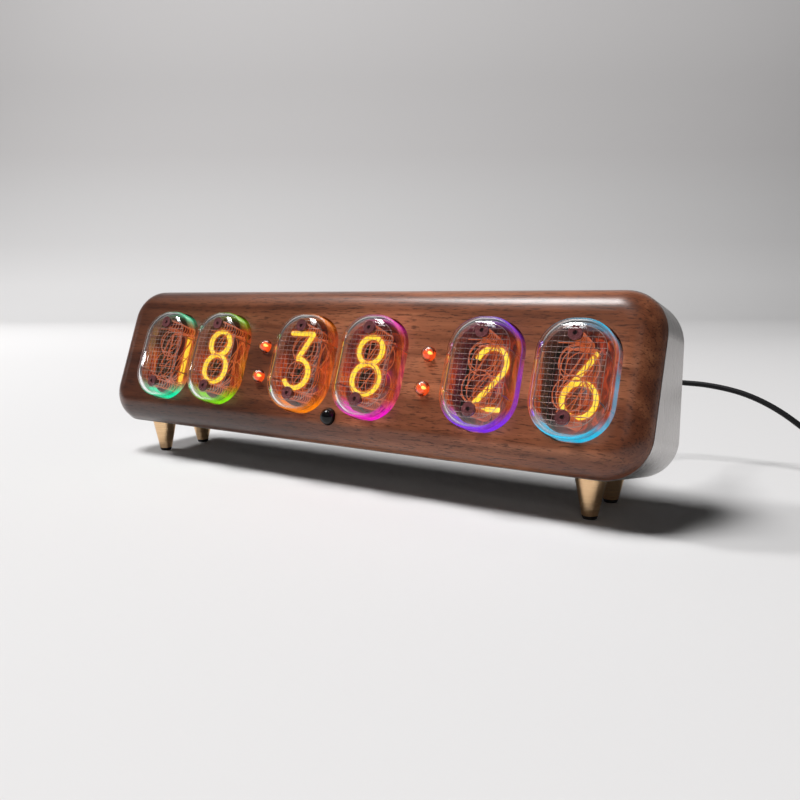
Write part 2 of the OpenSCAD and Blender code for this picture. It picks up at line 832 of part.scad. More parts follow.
// A push button: cap and flange in one, held from behind by the rear cover.
module push_button(i) {
  color([0.09, 0.09, 0.1]) at_back() translate([button_x[i], 0, button_z]) {
    rod(flange_front, flange_t, flange_r);
    rod(flange_front, flange_t + button_gap + cover_t + button_proud - button_chamfer, button_d / 2);
    translate([0, button_proud, 0]) rotate([90, 0, 0])
      cylinder(h = button_chamfer + eps, r1 = button_d / 2 - button_chamfer, r2 = button_d / 2);
  }
}

module button_set() { push_button(0); }
module button_minus() { push_button(1); }
module button_plus() { push_button(2); }

// ---------------------------------------------------------------- power lead

module power_plug() {
  color([0.06, 0.06, 0.06]) at_back() translate([jack_x, 0, jack_up]) {
    difference() {
      rod(plug_front - plug_barrel_len, plug_barrel_len + eps, plug_barrel_r);
      rod(plug_front - plug_barrel_len - 1, plug_barrel_len, plug_hollow_r);
    }
    rod(plug_front, plug_len * 0.6, plug_r);
    translate([0, plug_front + plug_len, 0]) rotate([90, 0, 0])
      cylinder(h = plug_len * 0.4 + eps, r1 = plug_neck_r, r2 = plug_r);
    translate([0, relief_end, 0]) rotate([90, 0, 0])
      cylinder(h = relief_len + eps, r1 = cord_d / 2 + 0.35, r2 = relief_r);
  }
}

// Where the lead leaves the strain relief, pointing straight back.
cord_start = [jack_x, face_y + body_depth + relief_end, back_z + jack_up];

// The free route, past the right end of the clock and down to the table.
lead_route = [
  [66.5, 65.8, 31.4], [68.8, 71.6, 30.6], [73, 77.2, 29.5], [79, 81.8, 28.2], [86, 84.4, 27.3],
  [93, 85.2, 27], [100, 85.2, 26.2], [107, 84.8, 24.7], [114, 84.1, 22.1], [120.5, 83.4, 18.6],
  [126.5, 82.9, 14.4], [132.5, 82.6, 10.1], [138.5, 82.4, 6.2], [145, 82.3, 3.4], [151, 82.3, 2.1]
];

// The coil: a flat start at its rim, then turns that spiral in and out again, layer on layer.
coil_centre = [160, 68];
tie_t = 0.7;
coil_step = cord_d + 0.45;
coil_layers = 4;
coil_turns = 13.25;
layer_turns = coil_turns / coil_layers;
coil_mean_r = 5.5 * cord_d;
coil_rim_r = coil_mean_r + layer_turns / 2 * coil_step;
coil_z = tie_t + 0.1 + cord_d / 2;
rings_per_turn = 24;

// Distance from the nearest reversal, counted in turns, and the layer reached.
function fold_at(s) = let (m = s % (2 * layer_turns)) m < layer_turns ? m : 2 * layer_turns - m;
function climb(s) = let (k = round(s / layer_turns), off = s - k * layer_turns)
  k < 1 || k >= coil_layers ? min(floor(s / layer_turns), coil_layers - 1)
  : abs(off) < 0.25 ? k - 1 + (off + 0.25) * 2 : floor(s / layer_turns);
function coil_point(s) = let (r = coil_rim_r - coil_step * fold_at(s), q = 90 - 360 * s)
  [coil_centre[0] + r * cos(q), coil_centre[1] + r * sin(q), coil_z + coil_step * climb(s)];
coil_path = concat(
  [[coil_centre[0] - cord_d, coil_centre[1] + coil_rim_r, coil_z]],
  [for (i = [0:rings_per_turn * coil_turns]) coil_point(i / rings_per_turn)],
  [[coil_centre[0] + coil_rim_r, coil_centre[1] - cord_d, coil_z + coil_step * (coil_layers - 1)]]
);
coil_in = coil_path[0];
coil_out = coil_path[len(coil_path) - 1];

// The short tail from the top of the coil to the plug beside it.
usb_centre = [coil_out[0], 47, 4];
tail_route = [
  [coil_out[0], coil_out[1] - 3.5, coil_out[2] - 0.1], [coil_out[0], coil_out[1] - 7, coil_out[2] - 1.1],
  [coil_out[0], coil_out[1] - 10.5, coil_out[2] - 2.7], [coil_out[0], 52, 4.4], [coil_out[0], 49, 4]
];

// Rings of a tube swept along a path, and their skin.
function unit(v) = v / norm(v);
function heading(path, i) = unit(path[min(i + 1, len(path) - 1)] - path[max(i - 1, 0)]);
function ring(c, h, r, sides) = let (a = unit(cross(h, [0, 0, 1])), b = cross(a, h))
  [for (j = [0:sides - 1]) let (q = 360 * (j + 0.5) / sides) c + r * (cos(q) * a + sin(q) * b)];
module tube_along(path, r, sides) {
  n = len(path);
  points = [for (i = [0:n - 1]) each ring(path[i], heading(path, i), r, sides)];
  skin = [for (i = [0:n - 2], j = [0:sides - 1])
    let (a = i * sides + j, b = i * sides + (j + 1) % sides)
    each [[a, b, b + sides], [a, b + sides, a + sides]]];
  caps = [[for (j = [sides - 1:-1:0]) j], [for (j = [0:sides - 1]) (n - 1) * sides + j]];
  polyhedron(points, concat(skin, caps), convexity = 10);
}

// Points halfway between neighbours, on the smooth curve through them.
function halved(p) = let (n = len(p))
  [for (i = [0:2 * n - 2]) i % 2 == 0 ? p[i / 2]
    : let (k = (i - 1) / 2, a = p[max(k - 1, 0)], b = p[k], c = p[k + 1], d = p[min(k + 2, n - 1)])
      (9 * (b + c) - a - d) / 16];

module power_cord() {
  lead = concat([cord_start, cord_start + [0, 4, 0]], lead_route, [coil_in]);
  tail = concat([coil_out], tail_route, [usb_centre]);
  color([0.03, 0.03, 0.03]) {
    tube_along(halved(lead), cord_d / 2, 8);
    tube_along(tail, cord_d / 2, 8);
  }
}

// The least distance between tube centres more than half a turn apart, less the tube itself.
coil_gap = min([for (i = [0:2:len(coil_path) - 1])
  min(concat([99], [for (j = [i + 12:1:len(coil_path) - 1]) norm(coil_path[i] - coil_path[j])]))]) - cord_d;
echo(least_gap_in_coil = coil_gap);

module cord_coil() {
  color([0.03, 0.03, 0.03]) tube_along(coil_path, cord_d / 2, 6);
}

module usb_plug() {
  body_w = 15.6;
  body_t = 8;
  body_len = 23;
  shell_w = 12;
  shell_t = 4.5;
  shell_len = 18.8;
  sheet = 0.4;
  color([0.07, 0.07, 0.07]) translate(usb_centre) rotate([0, 0, 180]) {
    deep(0, body_len) rounded(body_w, body_t, 2.4);
    difference() {
      deep(body_len - eps, shell_len) rounded(shell_w, shell_t, 0.6);
      deep(body_len + 1, shell_len) rounded(shell_w - 2 * sheet, shell_t - 2 * sheet, 0.3);
    }
    translate([0, 0, -0.9]) deep(body_len + 1 - eps, shell_len - 2) square([shell_w - 2.4, 1.4], center = true);
  }
}

// A flat strap closed round the bundle of turns.
module cord_tie() {
  strap_w = 5;
  bundle_w = layer_turns * coil_step + cord_d + 0.6;
  bundle_h = (coil_layers - 1) * coil_step + cord_d + 0.2;
  color([0.1, 0.1, 0.1])
    translate([coil_centre[0], coil_centre[1] - coil_mean_r, tie_t + bundle_h / 2])
    rotate([0, 0, 90]) deep(-strap_w / 2, strap_w) difference() {
      rounded(bundle_w + 2 * tie_t, bundle_h + 2 * tie_t, 2);
      rounded(bundle_w, bundle_h, 2 - tie_t);
    }
}

front_panel();
case_shell();
rear_cover();
cover_screws();
foot_front_left();
foot_front_right();
foot_rear_left();
foot_rear_right();
foot_tips();
foot_screws();
tube_1_glass();
tube_2_glass();
tube_3_glass();
tube_4_glass();
tube_5_glass();
tube_6_glass();
tube_1_anode();
tube_2_anode();
tube_3_anode();
tube_4_anode();
tube_5_anode();
tube_6_anode();
tube_1_numerals();
tube_2_numerals();
tube_3_numerals();
tube_4_numerals();
tube_5_numerals();
tube_6_numerals();
tube_1_base();
tube_2_base();
tube_3_base();
tube_4_base();
tube_5_base();
tube_6_base();
tube_pins();
tube_rods();
tube_sockets();
colon_lamps();
colon_electrodes();
sensor_dome();
underlight_leds();
display_board();
control_board();
board_standoffs();
board_screws();
driver_chips();
hv_inductor();
hv_capacitor();
backup_battery();
power_jack();
tact_switches();
button_set();
button_minus();
button_plus();
power_plug();
power_cord();
cord_coil();
usb_plug();
cord_tie();
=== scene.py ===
import math
import bpy
import numpy as np
from mathutils import Matrix, Vector


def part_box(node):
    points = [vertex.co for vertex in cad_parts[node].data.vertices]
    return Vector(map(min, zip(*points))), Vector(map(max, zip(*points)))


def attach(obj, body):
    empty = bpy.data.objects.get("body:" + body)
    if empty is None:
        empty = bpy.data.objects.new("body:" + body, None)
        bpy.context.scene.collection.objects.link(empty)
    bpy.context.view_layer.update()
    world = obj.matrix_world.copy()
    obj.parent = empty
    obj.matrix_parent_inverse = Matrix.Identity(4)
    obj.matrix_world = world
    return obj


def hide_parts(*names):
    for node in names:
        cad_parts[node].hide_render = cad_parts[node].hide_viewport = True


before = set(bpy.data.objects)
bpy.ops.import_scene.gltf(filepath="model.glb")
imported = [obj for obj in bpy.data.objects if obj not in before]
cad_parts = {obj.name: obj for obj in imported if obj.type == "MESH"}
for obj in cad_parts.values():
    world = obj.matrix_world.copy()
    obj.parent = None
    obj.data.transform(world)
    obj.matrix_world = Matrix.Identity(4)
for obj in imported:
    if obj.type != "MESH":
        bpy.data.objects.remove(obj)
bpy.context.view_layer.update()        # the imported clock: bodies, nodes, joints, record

mm = 0.001
print("frame loaded:", len(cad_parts), "nodes")

# the clock's own directions: u along the row, v up the leaning front, d into the clock,
# all counted from the middle of the walnut face; the lean is in degrees
front = {"lean": 20.7, "y": -9.45 * mm, "z": 38.5 * mm, "rowBelow": 1.5 * mm}
lean = math.radians(front["lean"])
tubeNumbers = range(1, 7)


def onFace(u, v, d):
    # arrays of (u, v, d) turned by the lean and moved to the middle of the face
    u, v, d = np.broadcast_arrays(np.asarray(u, float), v, d)
    y = front["y"] + v * math.sin(lean) + d * math.cos(lean)
    z = front["z"] + v * math.cos(lean) - d * math.sin(lean)
    return np.stack([u, y, z], -1)


inward = onFace(0, 0, 1) - onFace(0, 0, 0)


def middleOf(name):
    low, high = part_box(name)
    return (np.array(low) + np.array(high)) / 2


tubeX = [middleOf(f"tube_{k}_glass")[0] for k in tubeNumbers]


def fromSrgb(r, g, b):
    # 0 to 255 screen values as the linear values that nodes want, by the sRGB curve
    c = np.array([r, g, b]) / 255
    linear = np.where(c <= 0.04045, c / 12.92, ((c + 0.055) / 1.055) ** 2.4)
    return tuple(linear.tolist())


# meshes from arrays of points
def addMesh(name, points, faces, smooth=True):
    mesh = bpy.data.meshes.new(name)
    mesh.from_pydata(np.asarray(points).reshape(-1, 3).tolist(), [], faces)
    mesh.polygons.foreach_set("use_smooth", [smooth] * len(mesh.polygons))
    mesh.update()
    piece = bpy.data.objects.new(name, mesh)
    bpy.context.scene.collection.objects.link(piece)
    return piece


def gridFaces(rows, around, start=0, flip=False):
    # quads between neighbouring rows of a grid that closes round each row
    i, j = np.meshgrid(np.arange(rows - 1), np.arange(around), indexing="ij")
    a = start + i * around + j
    b = start + i * around + (j + 1) % around
    quads = np.stack([a, b, b + around, a + around], -1).reshape(-1, 4)
    return (quads[:, ::-1] if flip else quads).tolist()


def fanFaces(pole, ring, flip=False):
    # triangles from one point to a closed ring
    ring = np.asarray(ring)
    fans = np.stack([np.full(len(ring), pole), ring, np.roll(ring, -1)], -1)
    return (fans[:, ::-1] if flip else fans).tolist()


def sweep(path, radius, sides, aside, closed=False):
    # a round tube along a path: ring = path + radius * (cos q * a + sin q * b), with a across
    # both the path and the direction "aside", and b across the path and a; the ends are flat
    path = np.asarray(path, float)
    if closed:
        ahead = np.roll(path, -1, 0) - np.roll(path, 1, 0)
    else:
        ahead = np.gradient(path, axis=0)
    ahead /= np.linalg.norm(ahead, axis=1, keepdims=True)
    a = np.cross(ahead, np.asarray(aside, float))
    a /= np.linalg.norm(a, axis=1, keepdims=True)
    b = np.cross(a, ahead)
    q = 2 * np.pi * np.arange(sides) / sides
    across = np.cos(q)[None, :, None] * a[:, None] + np.sin(q)[None, :, None] * b[:, None]
    radius = np.broadcast_to(np.asarray(radius, float), (len(path),))[:, None, None]
    rings = path[:, None] + radius * across
    n = len(path)
    faces = gridFaces(n, sides)
    if closed:
        j = np.arange(sides)
        last = (n - 1) * sides
        faces += np.stack([last + j, last + (j + 1) % sides, (j + 1) % sides, j], -1).tolist()
    else:
        faces += [list(range(sides))[::-1], list(range((n - 1) * sides, n * sides))]
    return rings.reshape(-1, 3), faces


def joined(parts):
    # several (points, faces) as one
    points, faces, start = [], [], 0
    for p, f in parts:
        points.append(np.asarray(p).reshape(-1, 3))
        faces += [[i + start for i in face] for face in f]
        start += len(points[-1])
    return np.concatenate(points), faces


def oblong(width, height, radius, count, steps=256):
    # a rectangle with round corners: corner centre plus radius * (cos q, sin q),
    # then spaced evenly along its length
    q = np.linspace(0, 2 * np.pi, steps + 1)[:-1]
    cornerX = np.where(np.cos(q) >= 0, 1, -1) * (width / 2 - radius)
    cornerZ = np.where(np.sin(q) >= 0, 1, -1) * (height / 2 - radius)
    line = np.stack([cornerX + radius * np.cos(q), cornerZ + radius * np.sin(q)], -1)
    line = np.concatenate([line, line[:1]])
    along = np.concatenate([[0], np.cumsum(np.linalg.norm(np.diff(line, axis=0), axis=1))])
    at = np.linspace(0, along[-1], count + 1)[:-1]
    return np.stack([np.interp(at, along, line[:, i]) for i in (0, 1)], -1)


def smoothed(points, rounds):
    # each round puts a point halfway between neighbours, on the curve (9(b + c) - a - d) / 16
    p = np.asarray(points, float)
    for _ in range(rounds):
        before = np.concatenate([p[:1], p[:-1]])[:-1]
        after = np.concatenate([p[1:], p[-1:]])[1:]
        halfway = (9 * (p[:-1] + p[1:]) - before - after) / 16
        full = np.empty((2 * len(p) - 1, 3))
        full[0::2], full[1::2] = p, halfway
        p = full
    return p


# shader nodes that the finishes share
def opaque(colour):
    return (*colour, 1.0)


def startMaterial(name, roughness=0.5, metallic=0.0, specular=0.5):
    material = bpy.data.materials.new(name)
    material.use_nodes = True
    shader = material.node_tree.nodes["Principled BSDF"]
    shader.inputs["Roughness"].default_value = roughness
    shader.inputs["Metallic"].default_value = metallic
    shader.inputs["Specular IOR Level"].default_value = specular
    return material, material.node_tree, shader


def node(tree, kind, **values):
    # a shader node; a value goes to its property of that name, or else to its input
    made = tree.nodes.new("ShaderNode" + kind)
    for key, value in values.items():
        if hasattr(made, key):
            setattr(made, key, value)
        else:
            made.inputs[key.replace("_", " ")].default_value = value
    return made


def objectPoints(tree, scale=(1, 1, 1), turn=(0, 0, 0)):
    place = tree.nodes.new("ShaderNodeTexCoord")
    mapping = node(tree, "Mapping")
    mapping.inputs["Scale"].default_value = scale
    mapping.inputs["Rotation"].default_value = turn
    tree.links.new(place.outputs["Object"], mapping.inputs["Vector"])
    return mapping.outputs["Vector"]


def noise(tree, stretch=(1, 1, 1), turn=(0, 0, 0), scale=1.0, **values):
    made = node(tree, "TexNoise", Scale=scale, **values)
    tree.links.new(objectPoints(tree, stretch, turn), made.inputs["Vector"])
    return made.outputs["Fac"]


def alongAxis(tree, axis, start, end, least=0.0, most=1.0):
    # a value that grows evenly along one axis of the piece
    split = tree.nodes.new("ShaderNodeSeparateXYZ")
    tree.links.new(objectPoints(tree), split.inputs["Vector"])
    made = node(tree, "MapRange", From_Min=start, From_Max=end, To_Min=least, To_Max=most)
    tree.links.new(split.outputs[axis], made.inputs["Value"])
    return made.outputs[0]


def ramp(tree, source, stops):
    made = tree.nodes.new("ShaderNodeValToRGB")
    points = made.color_ramp.elements
    while len(points) < len(stops):
        points.new(0.5)
    for point, (at, colour) in zip(points, stops):
        point.position, point.color = at, opaque(colour)
    tree.links.new(source, made.inputs["Fac"])
    return made.outputs["Color"]


def mixedColour(tree, factor, first, second, how="MIX"):
    # two colours mixed by a number or by another node; MULTIPLY tints the first with the second
    made = node(tree, "Mix", data_type="RGBA", blend_type=how)
    for place, value in ((0, factor), (6, first), (7, second)):
        if isinstance(value, bpy.types.NodeSocket):
            tree.links.new(value, made.inputs[place])
        else:
            made.inputs[place].default_value = value
    return made.outputs[2]


def addRelief(tree, shader, height, strength, depth):
    made = node(tree, "Bump", Strength=strength, Distance=depth)
    tree.links.new(height, made.inputs["Height"])
    tree.links.new(made.outputs["Normal"], shader.inputs["Normal"])


def makeGroup(name, wanted, given):
    group = bpy.data.node_groups.new(name, "ShaderNodeTree")
    for label, kind, value in wanted:
        socket = group.interface.new_socket(name=label, in_out="INPUT", socket_type="NodeSocket" + kind)
        if value is not None:
            socket.default_value = value
    for label, kind in given:
        group.interface.new_socket(name=label, in_out="OUTPUT", socket_type="NodeSocket" + kind)
    return group, group.nodes.new("NodeGroupInput"), group.nodes.new("NodeGroupOutput")


# how much coarser the broad cloud is than the fine pits, its share, and the span that is used
finishPattern = {"fine": {"Detail": 6.0, "Roughness": 0.65}, "broad": {"Detail": 3.0, "Roughness": 0.5},
                 "coarser": 0.12, "broadShare": 0.45, "from": 0.33, "to": 0.67}


def makeFinishGroup():
    # a surface that varies between two colours and two roughnesses, with fine pits over a broad cloud
    group, into, out = makeGroup("finishVariation", [
        ("Vector", "Vector", None), ("Scale", "Float", 200.0), ("Dark", "Color", (0.1, 0.1, 0.1, 1)),
        ("Light", "Color", (0.2, 0.2, 0.2, 1)), ("Smooth", "Float", 0.3), ("Rough", "Float", 0.5),
    ], [("Color", "Color"), ("Roughness", "Float"), ("Height", "Float")])
    links = group.links
    fine = node(group, "TexNoise", **finishPattern["fine"])
    broad = node(group, "TexNoise", **finishPattern["broad"])
    slower = node(group, "Math", operation="MULTIPLY")
    slower.inputs[1].default_value = finishPattern["coarser"]
    links.new(into.outputs["Scale"], slower.inputs[0])
    for texture, scale in ((fine, into.outputs["Scale"]), (broad, slower.outputs[0])):
        links.new(into.outputs["Vector"], texture.inputs["Vector"])
        links.new(scale, texture.inputs["Scale"])
    blend = node(group, "Mix", data_type="FLOAT")
    blend.inputs["Factor"].default_value = finishPattern["broadShare"]
    links.new(fine.outputs["Fac"], blend.inputs[2])
    links.new(broad.outputs["Fac"], blend.inputs[3])
    spread = node(group, "MapRange", From_Min=finishPattern["from"], From_Max=finishPattern["to"])
    links.new(blend.outputs[0], spread.inputs["Value"])
    colour = mixedColour(group, spread.outputs[0], into.outputs["Dark"], into.outputs["Light"])
    rough = node(group, "Mix", data_type="FLOAT")
    links.new(spread.outputs[0], rough.inputs["Factor"])
    links.new(into.outputs["Smooth"], rough.inputs[2])
    links.new(into.outputs["Rough"], rough.inputs[3])
    links.new(colour, out.inputs["Color"])
    links.new(rough.outputs[0], out.inputs["Roughness"])
    links.new(fine.outputs["Fac"], out.inputs["Height"])
    return group


finishGroup = makeFinishGroup()


def finish(name, dark, light, rough, scale=400.0, stretch=(1, 1, 1), metallic=0.0, specular=0.5,
           bump=0.05, depth=0.02):
    # a material on the shared finish group, its pattern stretched where the surface was brushed or
    # turned; "rough" holds the least and the most roughness, and depth is in millimetres
    material, tree, shader = startMaterial(name, metallic=metallic, specular=specular)
    group = tree.nodes.new("ShaderNodeGroup")
    group.node_tree = finishGroup
    values = {"Scale": scale, "Dark": opaque(dark), "Light": opaque(light), "Smooth": rough[0],
              "Rough": rough[1]}
    for key, value in values.items():
        group.inputs[key].default_value = value
    tree.links.new(objectPoints(tree, stretch), group.inputs["Vector"])
    tree.links.new(group.outputs["Color"], shader.inputs["Base Color"])
    tree.links.new(group.outputs["Roughness"], shader.inputs["Roughness"])
    if bump:
        addRelief(tree, shader, group.outputs["Height"], bump, depth * mm)
    return material


def paint(material, *names):
    for name in names:
        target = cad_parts[name].data.materials
        target.clear()
        target.append(material)


def dress(piece, material, replaces=()):
    # a new piece gets its material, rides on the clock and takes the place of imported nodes
    piece.data.materials.append(material)
    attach(piece, "clock")
    if replaces:
        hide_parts(*replaces)
    return piece


# the camera stands where the photograph was taken from; its place is counted from the middle of
# the walnut face, its angles are in degrees and its focal length in pixels of the picture
camera = {"x": 142.37 * mm, "y": -180.52 * mm, "z": 20.59 * mm, "turn": 32.51, "down": 8.22, "roll": -0.2,
          "focal": 736.3, "pictureWidth": 800, "sensor": 36, "nearClip": 5 * mm, "farClip": 20}


def addCamera():
    data = bpy.data.cameras.new("photoCamera")
    data.sensor_width = camera["sensor"]
    data.lens = camera["focal"] / camera["pictureWidth"] * camera["sensor"]
    data.clip_start, data.clip_end = camera["nearClip"], camera["farClip"]
    made = bpy.data.objects.new("photoCamera", data)
    bpy.context.scene.collection.objects.link(made)
    made.location = (camera["x"], front["y"] + camera["y"], front["z"] + camera["z"])
    aim = Matrix.Rotation(math.radians(camera["turn"]), 3, "Z")
    aim = aim @ Matrix.Rotation(math.radians(90 - camera["down"]), 3, "X")
    made.rotation_euler = (aim @ Matrix.Rotation(math.radians(camera["roll"]), 3, "Z")).to_euler()
    bpy.context.scene.camera = made
    bpy.context.scene.view_settings.view_transform = "Standard"


addCamera()

# the lead's route and its coil are in millimetres, its diameter is in metres
lead = {
    "diameter": 1.9 * mm, "sides": 14,
    "look": {"dark": (0.012, 0.012, 0.013), "light": (0.022, 0.022, 0.023), "rough": (0.38, 0.5),
             "scale": 900, "specular": 0.2, "bump": 0.04},
    # the free route, from the plug past the right end of the clock and down to the table
    "start": (66, 56.4502, 31.8248), "straightOut": 4, "routeRounds": 3,
    "route": [
        (66.5, 65.8, 31.4), (68.8, 71.6, 30.6), (73, 77.2, 29.5), (79, 81.8, 28.2), (86, 84.4, 27.3),
        (93, 85.2, 27), (100, 85.2, 26.2), (107, 84.8, 24.7), (114, 84.1, 22.1), (120.5, 83.4, 18.6),
        (126.5, 82.9, 14.4), (132.5, 82.6, 10.1), (138.5, 82.4, 6.2), (145, 82.3, 3.4), (151, 82.3, 2.1),
    ],
    "coilMiddle": (160, 68), "layers": 4, "turns": 13.25, "gap": 0.45, "stepsPerTurn": 48,
    "meanRadius": 5.5,                              # of the coil, in lead diameters
    "climb": 0.5,                                   # turns over which the lead climbs one layer
    "tie": 0.7, "overTie": 0.1,                     # the tie's thickness, and the lead's gap over it
    "tailAway": [(3.5, 0.1), (7, 1.1), (10.5, 2.7)],    # forward and down from the coil's end
    "tailDown": [(52, 4.4), (49, 4), (47, 4)], "tailRounds": 2,    # y and z, up to the far plug
}


def coilPath():
    # radius falls and grows by one step a turn, and each reversal climbs one step within half a turn
    diameter = lead["diameter"] / mm
    step = diameter + lead["gap"]
    perLayer = lead["turns"] / lead["layers"]
    rim = lead["meanRadius"] * diameter + perLayer / 2 * step
    s = np.arange(int(lead["turns"] * lead["stepsPerTurn"]) + 1) / lead["stepsPerTurn"]
    fold = np.abs((s / perLayer + 1) % 2 - 1) * perLayer
    k = np.round(s / perLayer)
    off = s - k * perLayer
    flat = np.minimum(np.floor(s / perLayer), lead["layers"] - 1)
    half = lead["climb"] / 2
    rising = (k >= 1) & (k < lead["layers"]) & (np.abs(off) < half)
    level = np.where(rising, k - 1 + (off + half) / lead["climb"], flat)
    radius = rim - step * fold
    q = np.radians(90 - 360 * s)
    low = lead["tie"] + lead["overTie"] + diameter / 2
    x0, y0 = lead["coilMiddle"]
    turns = np.stack([x0 + radius * np.cos(q), y0 + radius * np.sin(q), low + step * level], -1)
    first = [[x0 - diameter, y0 + rim, low]]
    last = [[x0 + rim, y0 - diameter, low + step * (lead["layers"] - 1)]]
    return np.concatenate([first, turns, last])


def leadPath():
    start = np.array(lead["start"])
    coil = coilPath()
    way = np.concatenate([[start, start + [0, lead["straightOut"], 0]], lead["route"], coil[:1]])
    out = coil[-1]
    away = [out - [0, y, z] for y, z in lead["tailAway"]]
    down = [[out[0], y, z] for y, z in lead["tailDown"]]
    tail = np.concatenate([[out], away, down])
    pieces = [smoothed(way, lead["routeRounds"])[:-1], coil[:-1], smoothed(tail, lead["tailRounds"])]
    return np.concatenate(pieces) * mm


def addLead(material):
    path = leadPath()
    points, faces = sweep(path, lead["diameter"] / 2, lead["sides"], (0, 0, 1))
    piece = dress(addMesh("powerLead", points, faces), material,
                  replaces=("power_cord", "cord_coil"))


leadBlack = finish("leadBlack", **lead["look"])
addLead(leadBlack)
paint(leadBlack, "power_plug", "usb_plug", "cord_tie", "power_cord", "cord_coil")

# the oiled walnut: broad bands along the front, fine dark pores, a faint cloud, and a painted
# shade that darkens the plank towards its left end
walnut = {
    "specular": 0.2, "coat": 0.8, "coatRoughness": 0.28, "roughness": (0.52, 0.30),
    "bump": 0.5, "bumpDepth": 0.08 * mm, "halfLength": 100 * mm,
    "bandStretch": (9, 130, 130), "bandNoise": {"Detail": 5.0, "Roughness": 0.6, "Distortion": 0.6},
    "bands": [(0.30, fromSrgb(110, 64, 42)), (0.45, fromSrgb(158, 98, 69)), (0.56, fromSrgb(190, 126, 92)),
              (0.72, fromSrgb(218, 152, 114))],
    "poreStretch": (260, 2300, 2300), "poreTilt": 2.5, "poreNoise": {"Detail": 3.0, "Roughness": 0.7},
    "pores": [(0.37, (0.22, 0.18, 0.16)), (0.47, (1, 1, 1))], "poreShare": 0.85, "poreSpan": (0.3, 0.7),
    "cloudScale": 24.0, "cloudNoise": {"Detail": 3.0, "Roughness": 0.5},
    "cloud": [(0.35, (0.72, 0.66, 0.62)), (0.65, (1.12, 1.04, 1.0))], "cloudShare": 0.8,
    # painted shade along the plank: darkest at the left end, a little darker again at the right end
    "paintedShade": [(0.0, (0.22, 0.16, 0.13)), (0.14, (0.34, 0.28, 0.24)), (0.38, (0.52, 0.45, 0.40)),
              (0.52, (1, 0.96, 0.92)), (0.8, (1, 0.93, 0.87)), (1.0, (0.86, 0.76, 0.67))],
}


def walnutFinish():
    w = walnut
    material, tree, shader = startMaterial("oiledWalnut", specular=w["specular"])
    shader.inputs["Coat Weight"].default_value = w["coat"]
    shader.inputs["Coat Roughness"].default_value = w["coatRoughness"]
    bands = noise(tree, w["bandStretch"], **w["bandNoise"])
    pores = noise(tree, w["poreStretch"], (0, math.radians(w["poreTilt"]), 0), **w["poreNoise"])
    cloud = noise(tree, scale=w["cloudScale"], **w["cloudNoise"])
    # the painted shade follows the plank's length
    along = alongAxis(tree, "X", -w["halfLength"], w["halfLength"])
    colour = ramp(tree, bands, w["bands"])
    tints = ((w["poreShare"], pores, w["pores"]), (w["cloudShare"], cloud, w["cloud"]),
             (1.0, along, w["paintedShade"]))
    for share, source, stops in tints:
        colour = mixedColour(tree, share, colour, ramp(tree, source, stops), "MULTIPLY")
    tree.links.new(colour, shader.inputs["Base Color"])
    rough = node(tree, "MapRange", From_Min=w["poreSpan"][0], From_Max=w["poreSpan"][1],
                 To_Min=w["roughness"][0], To_Max=w["roughness"][1])
    tree.links.new(pores, rough.inputs["Value"])
    tree.links.new(rough.outputs[0], shader.inputs["Roughness"])
    addRelief(tree, shader, pores, w["bump"], w["bumpDepth"])
    return material


paint(walnutFinish(), "front_panel")

